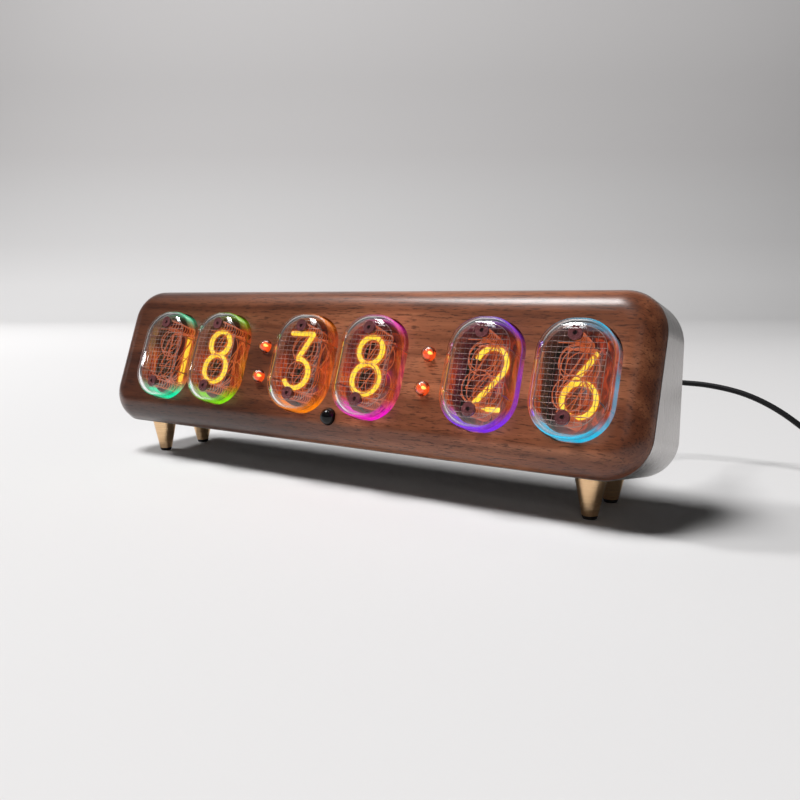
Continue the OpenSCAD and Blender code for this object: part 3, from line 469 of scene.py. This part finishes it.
# the other finishes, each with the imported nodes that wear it
finishes = {
    "brushedCase": ({"dark": (0.40, 0.38, 0.37), "light": (0.60, 0.575, 0.56), "rough": (0.24, 0.34),
                     "scale": 1.0, "stretch": (14, 2600, 14), "metallic": 1.0, "bump": 0.06, "depth": 0.01},
                    ["case_shell", "rear_cover"]),
    "darkSteel": ({"dark": (0.2, 0.2, 0.2), "light": (0.34, 0.34, 0.35), "rough": (0.3, 0.45),
                   "scale": 1800, "metallic": 1.0},
                  ["cover_screws", "foot_screws", "board_screws"]),
    "turnedBrass": ({"dark": (0.72, 0.46, 0.25), "light": (0.90, 0.62, 0.36), "rough": (0.2, 0.3),
                     "scale": 1.0, "stretch": (60, 60, 5000), "metallic": 1.0, "bump": 0.04, "depth": 0.01},
                    ["foot_front_left", "foot_front_right", "foot_rear_left", "foot_rear_right",
                     "board_standoffs"]),
    # the feet's rounded tips, near black
    "darkFootTips": ({"dark": (0.02, 0.02, 0.02), "light": (0.05, 0.045, 0.04), "rough": (0.6, 0.8),
                    "scale": 1500},
                   ["foot_tips"]),
    "blackPlastic": ({"dark": (0.025, 0.025, 0.027), "light": (0.05, 0.05, 0.052), "rough": (0.4, 0.6),
                      "scale": 2500, "bump": 0.12},
                     ["tube_sockets", "driver_chips", "hv_inductor", "power_jack", "tact_switches",
                      "button_set", "button_minus", "button_plus"]),
    "domeGloss": ({"dark": (0.003, 0.003, 0.004), "light": (0.008, 0.008, 0.009), "rough": (0.05, 0.12),
                   "scale": 300, "specular": 0.3, "bump": 0},
                  ["sensor_dome"]),
    "boardLacquer": ({"dark": (0.012, 0.07, 0.03), "light": (0.03, 0.16, 0.07), "rough": (0.25, 0.4),
                      "scale": 300},
                     ["display_board", "control_board"]),
    "pinkCeramic": ({"dark": (0.07, 0.018, 0.02), "light": (0.17, 0.05, 0.055), "rough": (0.12, 0.25),
                     "scale": 1500},
                    ["tube_rods"]),
    "anodeSteel": ({"dark": (0.24, 0.16, 0.15), "light": (0.62, 0.46, 0.42), "rough": (0.3, 0.45),
                    "scale": 2500, "metallic": 1.0},
                   ["tube_pins", "colon_electrodes", *[f"tube_{k}_anode" for k in tubeNumbers]]),
    "ledBody": ({"dark": (0.7, 0.7, 0.66), "light": (0.86, 0.86, 0.82), "rough": (0.35, 0.5), "scale": 900},
                ["underlight_leds"]),
    "capacitorSleeve": ({"dark": (0.02, 0.03, 0.12), "light": (0.05, 0.06, 0.2), "rough": (0.25, 0.4),
                         "scale": 500},
                        ["hv_capacitor"]),
    "cellSteel": ({"dark": (0.55, 0.55, 0.55), "light": (0.75, 0.75, 0.75), "rough": (0.15, 0.3),
                   "scale": 700, "metallic": 1.0},
                  ["backup_battery"]),
}
for label, (look, wearers) in finishes.items():
    paint(finish(label, **look), *wearers)
anodeSteel = bpy.data.materials["anodeSteel"]
print("finishes on the packed nodes")


def clearGlass(name, tint=(1, 1, 1), bending=1.47):
    # glass that lets lamps through, so that what is inside is lit; bending is its refractive index
    material, tree, shader = startMaterial(name, 0.0)
    shader.inputs["Base Color"].default_value = opaque(tint)
    shader.inputs["Transmission Weight"].default_value = 1.0
    shader.inputs["IOR"].default_value = bending
    path = tree.nodes.new("ShaderNodeLightPath")
    through = tree.nodes.new("ShaderNodeBsdfTransparent")
    through.inputs["Color"].default_value = opaque(tint)
    mix = tree.nodes.new("ShaderNodeMixShader")
    tree.links.new(path.outputs["Is Shadow Ray"], mix.inputs["Fac"])
    tree.links.new(shader.outputs["BSDF"], mix.inputs[1])
    tree.links.new(through.outputs["BSDF"], mix.inputs[2])
    tree.links.new(mix.outputs["Shader"], tree.nodes["Material Output"].inputs["Surface"])
    return material


# how fine the glow's variation is, how far it dims, and where between dim and full it changes
glowPattern = {"scale": 900.0, "noise": {"Detail": 2.0}, "dim": 0.8, "dimAt": 0.35, "fullAt": 0.6,
               "roughness": 0.6}


def glowing(name, colour, strength, base=(0.1, 0.03, 0.01), alpha=1.0):
    # an even glow whose colour shifts slightly along the wire
    material, tree, shader = startMaterial(name, glowPattern["roughness"])
    shader.inputs["Base Color"].default_value = opaque(base)
    shader.inputs["Emission Strength"].default_value = strength
    shader.inputs["Alpha"].default_value = alpha
    cloud = noise(tree, scale=glowPattern["scale"], **glowPattern["noise"])
    dim = tuple(c * glowPattern["dim"] for c in colour)
    shade = ramp(tree, cloud, [(glowPattern["dimAt"], dim), (glowPattern["fullAt"], colour)])
    tree.links.new(shade, shader.inputs["Emission Color"])
    return material


# the numeral tubes, in metres: the outline, how far the glass stands out, and which numeral is lit;
# order is that of the ten numerals from front to back
tube = {
    "width": 21 * mm, "height": 31 * mm, "corner": 9.5 * mm, "proud": 7.5 * mm, "length": 19.5 * mm,
    "wall": 1.0 * mm, "round": 4.2 * mm, "crown": 0.5 * mm, "around": 128, "rows": 9,
    "leastCorner": 0.1 * mm,
    "firstRing": 0.06,                              # the innermost ring, as a share of the outline
    "innerRound": 0.6,                              # how much of the wall the inner round-over loses
    "order": [3, 8, 9, 4, 0, 5, 7, 2, 6, 1],
    "digits": [1, 8, 3, 8, 2, 6],
}


def tubeShell(k, width, height, corner, frontAt, backAt, roundOver):
    # rows from the middle of the pane to the back: the pane is the outline times s with a crown of
    # crown * (1 - s^2), then a quarter round, then a straight wall; returns (rows, around, 3)
    n, crown = tube["around"], tube["crown"]
    paneCorner = max(corner - roundOver, tube["leastCorner"])
    base = oblong(width - 2 * roundOver, height - 2 * roundOver, paneCorner, n)
    rings = []
    for s in np.linspace(tube["firstRing"], 1, tube["rows"]):
        rings.append((base * s, frontAt + crown * s * s))
    for q in np.linspace(0, np.pi / 2, tube["rows"])[1:]:
        inset = roundOver * (1 - math.sin(q))
        line = oblong(width - 2 * inset, height - 2 * inset, corner - inset, n)
        rings.append((line, frontAt + crown + (roundOver - crown) * (1 - math.cos(q))))
    full = oblong(width, height, corner, n)
    for d in np.linspace(frontAt + roundOver, backAt, tube["rows"])[1:]:
        rings.append((full, d))
    x = tubeX[k - 1]
    return np.stack([onFace(x + line[:, 0], line[:, 1] - front["rowBelow"], d) for line, d in rings])


def addTubeGlass(k, material):
    # an outer and an inner shell in one grid, joined at the open back and closed at the panes' middles
    t = tube["wall"]
    back = tube["length"] - tube["proud"]
    outer = tubeShell(k, tube["width"], tube["height"], tube["corner"], -tube["proud"], back, tube["round"])
    inner = tubeShell(k, tube["width"] - 2 * t, tube["height"] - 2 * t, tube["corner"] - t,
                      t - tube["proud"], back, tube["round"] - t * tube["innerRound"])
    grid = np.concatenate([outer, inner[::-1]])
    total, n = grid.shape[:2]
    x = tubeX[k - 1]
    poles = np.stack([onFace(x, -front["rowBelow"], -tube["proud"]),
                      onFace(x, -front["rowBelow"], t - tube["proud"])])
    points = np.concatenate([grid.reshape(-1, 3), poles])
    faces = gridFaces(total, n, flip=True)
    ring = np.arange(n)
    faces += fanFaces(total * n, ring)
    faces += fanFaces(total * n + 1, (total - 1) * n + ring, flip=True)
    piece = addMesh(f"tubeGlass{k}", points, faces)
    return dress(piece, material, replaces=(f"tube_{k}_glass",))


# the glass foot behind the numerals: dark on the left, with streaks of the numeral's light on the right
tubeFoot = {
    "base": (0.03, 0.008, 0.006), "roughness": 0.35, "stretch": (330, 200, 140),
    "noise": {"Detail": 5.0, "Roughness": 0.65, "Distortion": 1.2},
    "strength": 1.0, "from": -8 * mm, "to": 4 * mm, "least": 0.12, "most": 1.1,
    "streaks": [(0.36, (0.015, 0.002, 0.001)), (0.50, (0.13, 0.012, 0.004)), (0.62, (0.42, 0.045, 0.01)),
                (0.72, (0.75, 0.14, 0.02))],
}


def tubeFootFinish(k):
    material, tree, shader = startMaterial(f"tubeFloor{k}", tubeFoot["roughness"])
    shader.inputs["Base Color"].default_value = opaque(tubeFoot["base"])
    shader.inputs["Emission Strength"].default_value = tubeFoot["strength"]
    streaks = ramp(tree, noise(tree, tubeFoot["stretch"], **tubeFoot["noise"]), tubeFoot["streaks"])
    tree.links.new(streaks, shader.inputs["Emission Color"])
    x = tubeX[k - 1]
    strength = alongAxis(tree, "X", x + tubeFoot["from"], x + tubeFoot["to"], tubeFoot["least"],
                         tubeFoot["most"])
    tree.links.new(strength, shader.inputs["Emission Strength"])
    return material


# the light in each glass wall; "out" runs from 0 at the walnut face to 1 where the round-over begins
rimLight = {
    "colours": [fromSrgb(10, 235, 170), fromSrgb(135, 225, 20), fromSrgb(255, 135, 10),
                fromSrgb(250, 20, 205), fromSrgb(125, 45, 250), fromSrgb(0, 205, 250)],
    "rightReach": [0.12, 0.12, 0.25, 0.2, 0.9, 1],      # how far the lamp's colour shows on the right wall
    "rightShare": 0.9, "rightUpTo": 0.45,
    "rows": 28, "inset": 0.5, "deepest": 2.5 * mm, "nearest": 0.75, "outMost": 1.3,
    "endsFrom": 0.55, "endsOver": 0.25,                 # where the top and bottom begin, by the sine
    "endLight": 0.95, "endLoss": 0.55, "sideLight": 0.5, "sideLoss": 0.3,
    "gapAt": 0.5, "gapWidth": 0.09, "gapDepth": 0.85,   # the dark line between two bright bands
    "upperOver": 0.3, "upperBase": 0.45, "upperGain": 0.8, "upperLeast": 0.1,
    "shallowFrom": 0.1, "shallowOver": 0.25, "deepLeast": 0.12,
    "base": (0.01, 0.01, 0.01), "roughness": 0.4, "strength": 1.2,
    "stretch": (420, 900, 130), "noise": {"Detail": 4.0, "Roughness": 0.7, "Distortion": 0.8},
    "warm": [(0.38, (0.10, 0.008, 0.003)), (0.52, (0.75, 0.07, 0.012)), (0.66, (1.0, 0.30, 0.05))],
    "breakFrom": 0.3, "breakTo": 0.6, "breakLeast": 0.6,
}


def rimLightFinish(k):
    # the coloured lamp behind the tube shines out of the glass wall, and the lit numeral streaks its sides
    r = rimLight
    material, tree, shader = startMaterial(f"rimLight{k}", r["roughness"])
    shader.inputs["Base Color"].default_value = opaque(r["base"])
    shader.inputs["Emission Strength"].default_value = r["strength"]
    lamp = node(tree, "Attribute", attribute_name="lamp")
    amount = node(tree, "Attribute", attribute_name="amount")
    streak = noise(tree, r["stretch"], **r["noise"])
    warm = ramp(tree, streak, r["warm"])
    colour = mixedColour(tree, lamp.outputs["Fac"], warm, opaque(r["colours"][k - 1]))
    tree.links.new(colour, shader.inputs["Emission Color"])
    broken = node(tree, "MapRange", From_Min=r["breakFrom"], From_Max=r["breakTo"], To_Min=r["breakLeast"])
    tree.links.new(streak, broken.inputs["Value"])
    share = node(tree, "Math", operation="MULTIPLY")
    tree.links.new(amount.outputs["Fac"], share.inputs[0])
    tree.links.new(broken.outputs[0], share.inputs[1])
    tree.links.new(share.outputs[0], shader.inputs["Alpha"])
    return material


def addRimLight(k):
    # a skin in the middle of the glass wall, from inside the walnut to the round-over; "lamp" is how
    # much of the coloured lamp shows and "amount" how bright: each falls evenly with "out", less
    # exp(-((out - gapAt) / gapWidth)^2) at the dark line, and the upper wall glows towards its right
    r = rimLight
    n = tube["around"]
    inset = r["inset"] * tube["wall"]
    line = oblong(tube["width"] - 2 * inset, tube["height"] - 2 * inset, tube["corner"] - inset, n)
    depth = np.linspace(r["deepest"], tube["round"] * r["nearest"] - tube["proud"], r["rows"])
    x = tubeX[k - 1]
    grid = np.stack([onFace(x + line[:, 0], line[:, 1] - front["rowBelow"], d) for d in depth])
    piece = addMesh(f"rimLight{k}", grid, gridFaces(len(depth), n))
    angle = np.arctan2(line[:, 1] / tube["height"], line[:, 0] / tube["width"])
    ends = np.clip((np.abs(np.sin(angle)) - r["endsFrom"]) / r["endsOver"], 0, 1)[None, :]
    rightSide = np.clip(np.cos(angle), 0, 1)[None, :]
    out = np.clip(-depth / (tube["proud"] - tube["round"]), 0, r["outMost"])[:, None]
    right = r["rightShare"] * rightSide * (out < r["rightUpTo"]) * r["rightReach"][k - 1]
    lamp = np.clip(ends + right, 0, 1)
    gap = r["gapDepth"] * np.exp(-((out - r["gapAt"]) / r["gapWidth"]) ** 2)
    atEnds = ends * (r["endLight"] - r["endLoss"] * out) * (1 - gap)
    atSides = (1 - ends) * (r["sideLight"] - r["sideLoss"] * out)
    upper = np.clip(np.sin(angle) / r["upperOver"], 0, 1)[None, :]
    toRight = np.clip(r["upperBase"] + r["upperGain"] * np.cos(angle), r["upperLeast"], 1)[None, :]
    shallow = np.clip((out - r["shallowFrom"]) / r["shallowOver"], r["deepLeast"], 1)
    amount = np.clip((atEnds + atSides) * (1 - upper * (1 - toRight * shallow)), 0, 1)
    for label, values in (("lamp", lamp), ("amount", amount)):
        layer = piece.data.attributes.new(label, "FLOAT", "POINT")
        layer.data.foreach_set("value", np.broadcast_to(values, (len(depth), n)).astype(np.float32).ravel())
    return dress(piece, rimLightFinish(k))


# the ten thin numerals of a tube, in millimetres; tieTop and tieFoot say how far from the middle, in
# half widths, a numeral's end lies where it is tied to the rings on the ceramic rods
numeral = {
    "halfWidth": 4.65, "halfHeight": 8.75, "first": 3.95, "pitch": 1.05, "wire": 0.14, "sides": 5,
    "ringRadius": 1.5, "ringSteps": 24, "rodUp": 10.8, "tieReach": 9.3, "tieTop": {4: 0.45, 6: 0.7},
    "tieFoot": {4: 0.45, 7: -0.35, 9: -0.7}, "arcSteps": 48, "lineSteps": 12,
    "meets": 0.01 * mm,                             # a line whose ends lie nearer than this is a loop
    # the unlit numerals' painted glow: a dim orange emission for the lit numeral's light on them
    "paintedGlow": {"colour": (0.72, 0.12, 0.022), "strength": 0.6, "base": (0.16, 0.055, 0.03)},
}
# the glow of the lit numeral: a yellow core inside two fainter orange skins, by radius in millimetres
litNumeral = {
    "litCore": (0.68, {"colour": (1.0, 0.84, 0.06), "strength": 1.45}),
    "litGlow": (0.92, {"colour": (1.0, 0.36, 0.015), "strength": 1.1, "alpha": 0.24}),
    "litHaze": (1.35, {"colour": (1.0, 0.12, 0.008), "strength": 0.9, "alpha": 0.12}),
}
litSides = 12


def numeralLines(n):
    # centre lines of a numeral: arcs by angle in degrees, and straight stretches between corners, in
    # half widths a and half heights t
    a, t = numeral["halfWidth"], numeral["halfHeight"]
    low = t - a

    def arc(x, z, r, start, end):
        q = np.radians(np.linspace(start, end, numeral["arcSteps"]))
        return np.stack([x + r * np.cos(q), z + r * np.sin(q)], -1)

    def line(*corners):
        last = len(corners) - 1
        at = np.linspace(0, last, numeral["lineSteps"] * last + 1)
        return np.stack([np.interp(at, range(last + 1), [c[i] for c in corners]) for i in (0, 1)], -1)

    if n == 0:
        return [np.concatenate([arc(0, low, a, 0, 180), arc(0, -low, a, 180, 360), [(a, low)]])]
    if n == 1:
        return [line((0, -t), (0, t))]
    if n == 2:
        neck = line((a * 0.819, low - a * 0.574), (-a, -t))
        return [np.concatenate([arc(0, low, a, 165, -35), neck[1:]]), line((-a, -t), (a, -t))]
    if n == 3:
        corner = (a * 0.85, t)
        return [line((-a, t), corner), line(corner, (-a * 0.1, a - low)), arc(0, -low, a, 96, -150)]
    if n == 4:
        top, left = (a * 0.45, t), (-a, -low)
        return [line((a * 0.45, -t), top), line(top, left), line(left, (a, -low))]
    if n == 5:
        corner, hook = (-a * 0.75, t), math.radians(145)
        return [line((a * 0.85, t), corner), line(corner, (a * math.cos(hook), a * math.sin(hook) - low)),
                arc(0, -low, a, 145, -150)]
    if n == 6:
        return [arc(0, -low, a, 0, 360), line((-a * 0.94, -low + a * 0.34), (a * 0.7, t))]
    if n == 7:
        return [line((-a, t), (a, t)), line((a, t), (-a * 0.35, -t))]
    if n == 8:
        return [arc(0, a, low, 0, 360), arc(0, -low, a, 0, 360)]
    return [arc(0, low, a, 0, 360), line((a * 0.94, low - a * 0.34), (-a * 0.7, -t))]


def numeralDepth(n):
    return (numeral["first"] + tube["order"].index(n) * numeral["pitch"]) * mm - tube["proud"]


def numeralSweeps(k, n, radius, sides):
    # the numeral n of tube k as swept wires at its own place in the stack
    parts = []
    for line in numeralLines(n):
        path = onFace(tubeX[k - 1] + line[:, 0] * mm, line[:, 1] * mm - front["rowBelow"], numeralDepth(n))
        closed = np.linalg.norm(path[0] - path[-1]) < numeral["meets"]
        parts.append(sweep(path[:-1] if closed else path, radius, sides, inward, closed))
    return parts


def addNumeralWires(k, material):
    # ten thin numerals, each tied at its top and foot to a ring round a rod:
    # (radius * cos q, rodUp + radius * sin q)
    a, t = numeral["halfWidth"], numeral["halfHeight"]
    wire, sides, radius = numeral["wire"] * mm, numeral["sides"], numeral["ringRadius"]
    q = np.linspace(0, 2 * np.pi, numeral["ringSteps"] + 1)[:-1]
    parts = []
    for n in tube["order"]:
        parts += numeralSweeps(k, n, wire, sides)
        for side, ties in ((1, numeral["tieTop"]), (-1, numeral["tieFoot"])):
            tie = np.array([[ties.get(n, 0) * a, side * t], [0, side * numeral["tieReach"]]]) * mm
            ring = np.stack([radius * np.cos(q), side * numeral["rodUp"] + radius * np.sin(q)], -1) * mm
            for line, closed in ((tie, False), (ring, True)):
                path = onFace(tubeX[k - 1] + line[:, 0], line[:, 1] - front["rowBelow"], numeralDepth(n))
                parts.append(sweep(path, wire, sides, inward, closed))
    return dress(addMesh(f"numeralWires{k}", *joined(parts)), material,
                 replaces=(f"tube_{k}_numerals",))


def addLitNumeral(k, glows):
    digit = tube["digits"][k - 1]
    for label, (radius, _) in litNumeral.items():
        parts = numeralSweeps(k, digit, radius * mm, litSides)
        dress(addMesh(f"{label}{k}", *joined(parts)), glows[label])


# the anode in front of the numerals: a rim, a grid of square wires, and four short rails behind it
mesh = {
    "width": 16.6 * mm, "height": 25.6 * mm, "corner": 6.5 * mm, "wire": 0.13 * mm, "pitch": 1.45 * mm,
    "behindPane": 2.6 * mm, "rimWire": 0.09 * mm, "rimSteps": 72, "rail": 0.22 * mm, "railUp": 6.2 * mm,
    "railEnd": 9 * mm, "wireSides": 4, "sides": 6,
}


def addAnode(k, material):
    # each wire is as long as the rounded outline allows: long - r + sqrt(r^2 - over^2) at a corner
    x, depth = tubeX[k - 1], mesh["behindPane"] - tube["proud"]
    w, h, r = mesh["width"] / 2, mesh["height"] / 2, mesh["corner"]
    parts = []

    def wire(u0, v0, u1, v1):
        ends = onFace(x + np.array([u0, u1]), np.array([v0, v1]) - front["rowBelow"], depth)
        parts.append(sweep(ends, mesh["wire"] / 2, mesh["wireSides"], inward))

    def reach(at, half, long):
        over = abs(at) - (half - r)
        return long if over <= 0 else long - r + math.sqrt(max(r * r - over * over, 0))

    def places(half):
        count = math.floor(half / mesh["pitch"])
        return np.arange(-count, count + 1) * mesh["pitch"]

    for at in places(w):
        wire(at, -reach(at, w, h), at, reach(at, w, h))
    for at in places(h):
        wire(-reach(at, h, w), at, reach(at, h, w), at)
    line = oblong(2 * w, 2 * h, r, mesh["rimSteps"])
    rim = onFace(x + line[:, 0], line[:, 1] - front["rowBelow"], depth)
    parts.append(sweep(rim, mesh["rimWire"], mesh["sides"], inward, True))
    for side in (-1, 1):
        for v in (-mesh["railUp"], mesh["railUp"]):
            rail = onFace(x + side * (w - mesh["rimWire"]), v - front["rowBelow"], [depth, mesh["railEnd"]])
            parts.append(sweep(rail, mesh["rail"], mesh["sides"], (1, 0, 0)))
    return dress(addMesh(f"meshAnode{k}", *joined(parts), smooth=False), material,
                 replaces=(f"tube_{k}_anode",))


# the unlit numerals wear painted light, the lit numeral's glow as a dim orange emission
paintedNumeralGlow = glowing("paintedNumeralGlow", **numeral["paintedGlow"])
paint(paintedNumeralGlow, *[f"tube_{k}_numerals" for k in tubeNumbers])
tubeGlass = clearGlass("tubeGlass")
glows = {label: glowing(label, **look) for label, (_, look) in litNumeral.items()}
for k in tubeNumbers:
    paint(tubeFootFinish(k), f"tube_{k}_base")
    addTubeGlass(k, tubeGlass)
    addRimLight(k)
    addNumeralWires(k, paintedNumeralGlow)
    addLitNumeral(k, glows)
    addAnode(k, anodeSteel)
print("tubes dressed")

# the colon lamps, in millimetres: each holds a red glow with a round nose, and a yellow electrode at
# its right edge; near and far are counted from the walnut face, aside from the middle of the lamp
colonLamp = {
    # the glass's pale pink tint is the lamp's red glow painted into the glass
    "spacing": 10.2, "noseFrom": 0.12, "noseSteps": 9, "sides": 20, "glass": (1.0, 0.80, 0.72),
    "colonGlow": {"near": -2.1, "far": 5.0, "radius": 1.48, "aside": 0,
                  "look": ("glowRed", (1.0, 0.11, 0.015), 1.0)},
    "colonSpark": {"near": -2.3, "far": 4.0, "radius": 0.45, "aside": 1.0,
                   "look": ("sparkYellow", (1.0, 0.75, 0.16), 1.6)},
}


def addColonGlow(label):
    # the girth at distance s behind the nose is sqrt(2 radius s - s^2) up to s = radius, then the radius
    shape = colonLamp[label]
    radius = shape["radius"]
    nose = radius * (1 - np.cos(np.linspace(colonLamp["noseFrom"], np.pi / 2, colonLamp["noseSteps"])))
    s = np.concatenate([nose, [shape["far"] - shape["near"]]])
    within = np.minimum(s, radius)
    girth = np.sqrt(np.maximum(2 * radius * within - within ** 2, 0))
    parts = []
    for left in (1, 3):                             # the tube on the left of each colon, from 0
        x = (tubeX[left] + tubeX[left + 1]) / 2 + shape["aside"] * mm
        for v in (-0.5, 0.5):
            path = onFace(x, v * colonLamp["spacing"] * mm - front["rowBelow"], (shape["near"] + s) * mm)
            parts.append(sweep(path, girth * mm, colonLamp["sides"], (1, 0, 0)))
    dress(addMesh(label, *joined(parts)), glowing(*shape["look"]))


paint(clearGlass("lampGlass", colonLamp["glass"]), "colon_lamps")
addColonGlow("colonGlow")
addColonGlow("colonSpark")
print("colon lamps dressed")

# the floor, square to the view, bends up into a wall through a quarter circle; near and wall are its
# distances from the clock, half is half its width, and the shades go by height as a share of shadeTo, a
# painted shade that darkens the wall above the floor
stage = {
    "near": -1.2, "wall": 1.4, "bend": 0.7, "top": 2.0, "half": 2.4, "steps": 24, "shadeTo": 1.2,
    "roughness": 0.8, "specular": 0.2,
    # painted shade on the wall: darkest about 0.4 m up, paler on the floor and towards the top
    "seen": [(0.0, (0.80, 0.79, 0.79)), (0.07, (0.81, 0.80, 0.80)), (0.17, (0.73, 0.72, 0.72)),
             (0.28, (0.70, 0.69, 0.69)), (0.40, (0.66, 0.645, 0.645)), (0.9, (0.72, 0.705, 0.705))],
    "dull": [(0.0, (0.36, 0.345, 0.34)), (0.03, (0.06, 0.06, 0.06))],
}


def stageFinish():
    # seen as it is, but dull to what it lights, so that the shadow under the clock stays deep
    material, tree, shader = startMaterial("paleFloor", stage["roughness"], specular=stage["specular"])
    height = alongAxis(tree, "Z", 0.0, stage["shadeTo"])
    path = tree.nodes.new("ShaderNodeLightPath")
    direct = node(tree, "Math", operation="LESS_THAN")
    direct.inputs[1].default_value = 0.5            # no diffuse bounce yet
    tree.links.new(path.outputs["Diffuse Depth"], direct.inputs[0])
    dull, seen = ramp(tree, height, stage["dull"]), ramp(tree, height, stage["seen"])
    tree.links.new(mixedColour(tree, direct.outputs[0], dull, seen), shader.inputs["Base Color"])
    return material


def addFloor():
    # away and up: near, 0, wall + bend * sin q, wall + bend against 0, 0, bend * (1 - cos q), top
    q = np.linspace(0, np.pi / 2, stage["steps"])
    wall, bend = stage["wall"], stage["bend"]
    away = np.concatenate([[stage["near"], 0.0], wall + bend * np.sin(q), [wall + bend]])[:, None]
    z = np.concatenate([[0, 0], bend * (1 - np.cos(q)), [stage["top"]]])[:, None]
    aside = np.array([[-stage["half"], stage["half"]]])
    turn = math.radians(camera["turn"])
    x = aside * math.cos(turn) - away * math.sin(turn)
    y = aside * math.sin(turn) + away * math.cos(turn)
    grid = np.stack(np.broadcast_arrays(x, y, z), -1)
    faces = [[2 * i, 2 * i + 1, 2 * i + 3, 2 * i + 2] for i in range(len(z) - 1)]
    piece = addMesh("paleFloor", grid, faces)
    piece.data.materials.append(stageFinish())


# the room looks pale to the camera, less so in metal and glass, and lights the clock only faintly
room = {"colour": (1, 0.985, 0.985), "lights": 0.012, "looks": 0.42, "mirrored": 0.18}


def seenDirectly(tree):
    # 1 where the camera sees it, "mirrored" where metal or glass shows it, 0 where it only lights
    path = tree.nodes.new("ShaderNodeLightPath")
    byGloss = node(tree, "Math", operation="MAXIMUM")
    tree.links.new(path.outputs["Is Glossy Ray"], byGloss.inputs[0])
    tree.links.new(path.outputs["Is Transmission Ray"], byGloss.inputs[1])
    share = node(tree, "Math", operation="MULTIPLY")
    tree.links.new(byGloss.outputs[0], share.inputs[0])
    share.inputs[1].default_value = room["mirrored"]
    either = node(tree, "Math", operation="MAXIMUM")
    tree.links.new(path.outputs["Is Camera Ray"], either.inputs[0])
    tree.links.new(share.outputs[0], either.inputs[1])
    return either.outputs[0]


def addWorld():
    world = bpy.data.worlds.new("softRoom")
    world.use_nodes = True
    tree = world.node_tree
    background = tree.nodes["Background"]
    background.inputs["Color"].default_value = opaque(room["colour"])
    strength = node(tree, "MapRange", To_Min=room["lights"], To_Max=room["looks"])
    tree.links.new(seenDirectly(tree), strength.inputs["Value"])
    tree.links.new(strength.outputs[0], background.inputs["Strength"])
    bpy.context.scene.world = world


# place, size and target in metres, power in watts; a hidden lamp lights things but is never mirrored
lamps = {
    "overhead": {"place": (-0.76, -0.42, 2.35), "power": 53, "size": (0.9, 0.75)},
    "leftSoft": {"place": (-1.9, -0.45, 1.5), "power": 25, "size": (0.3, 0.3), "hidden": True},
    "leftSpot": {"place": (-1.5, -0.5, 0.45), "power": 0.12, "size": (0.04, 0.04)},
    "frontFill": {"place": (0.7, -1.3, 0.9), "power": 0.6, "size": (0.7, 0.5)},
    "backdropWash": {"place": (-0.05, 1.03, 1.0), "power": 4.6, "size": (2.4, 0.4),
                     "target": (-1.13, 1.77, 0.85), "hidden": True},
}
tubeLamp = {"depth": 8.2 * mm, "power": 0.002, "radius": 1.5 * mm}


def addLamp(name, data, place, power, hidden=False):
    data.energy = power
    made = bpy.data.objects.new(name, data)
    bpy.context.scene.collection.objects.link(made)
    made.location = place
    made.visible_camera = False
    if hidden:
        made.visible_glossy = made.visible_transmission = False
    return made


def addPanelLamp(name, place, power, size, target=(0, 0, 0.03), hidden=False):
    data = bpy.data.lights.new(name, "AREA")
    data.shape, data.size, data.size_y = "RECTANGLE", *size
    made = addLamp(name, data, place, power, hidden)
    made.rotation_euler = (Vector(target) - Vector(place)).to_track_quat("-Z", "Y").to_euler()


def addTubeLamp(k):
    # the coloured lamp behind tube k
    data = bpy.data.lights.new(f"tubeLamp{k}", "POINT")
    data.color = rimLight["colours"][k - 1]
    data.shadow_soft_size = tubeLamp["radius"]
    behind = onFace(tubeX[k - 1], -front["rowBelow"], tubeLamp["depth"])
    addLamp(f"tubeLamp{k}", data, behind, tubeLamp["power"], hidden=True)


addFloor()
addWorld()
for label, values in lamps.items():
    addPanelLamp(label, **values)
for k in tubeNumbers:
    addTubeLamp(k)
print("light and floor")
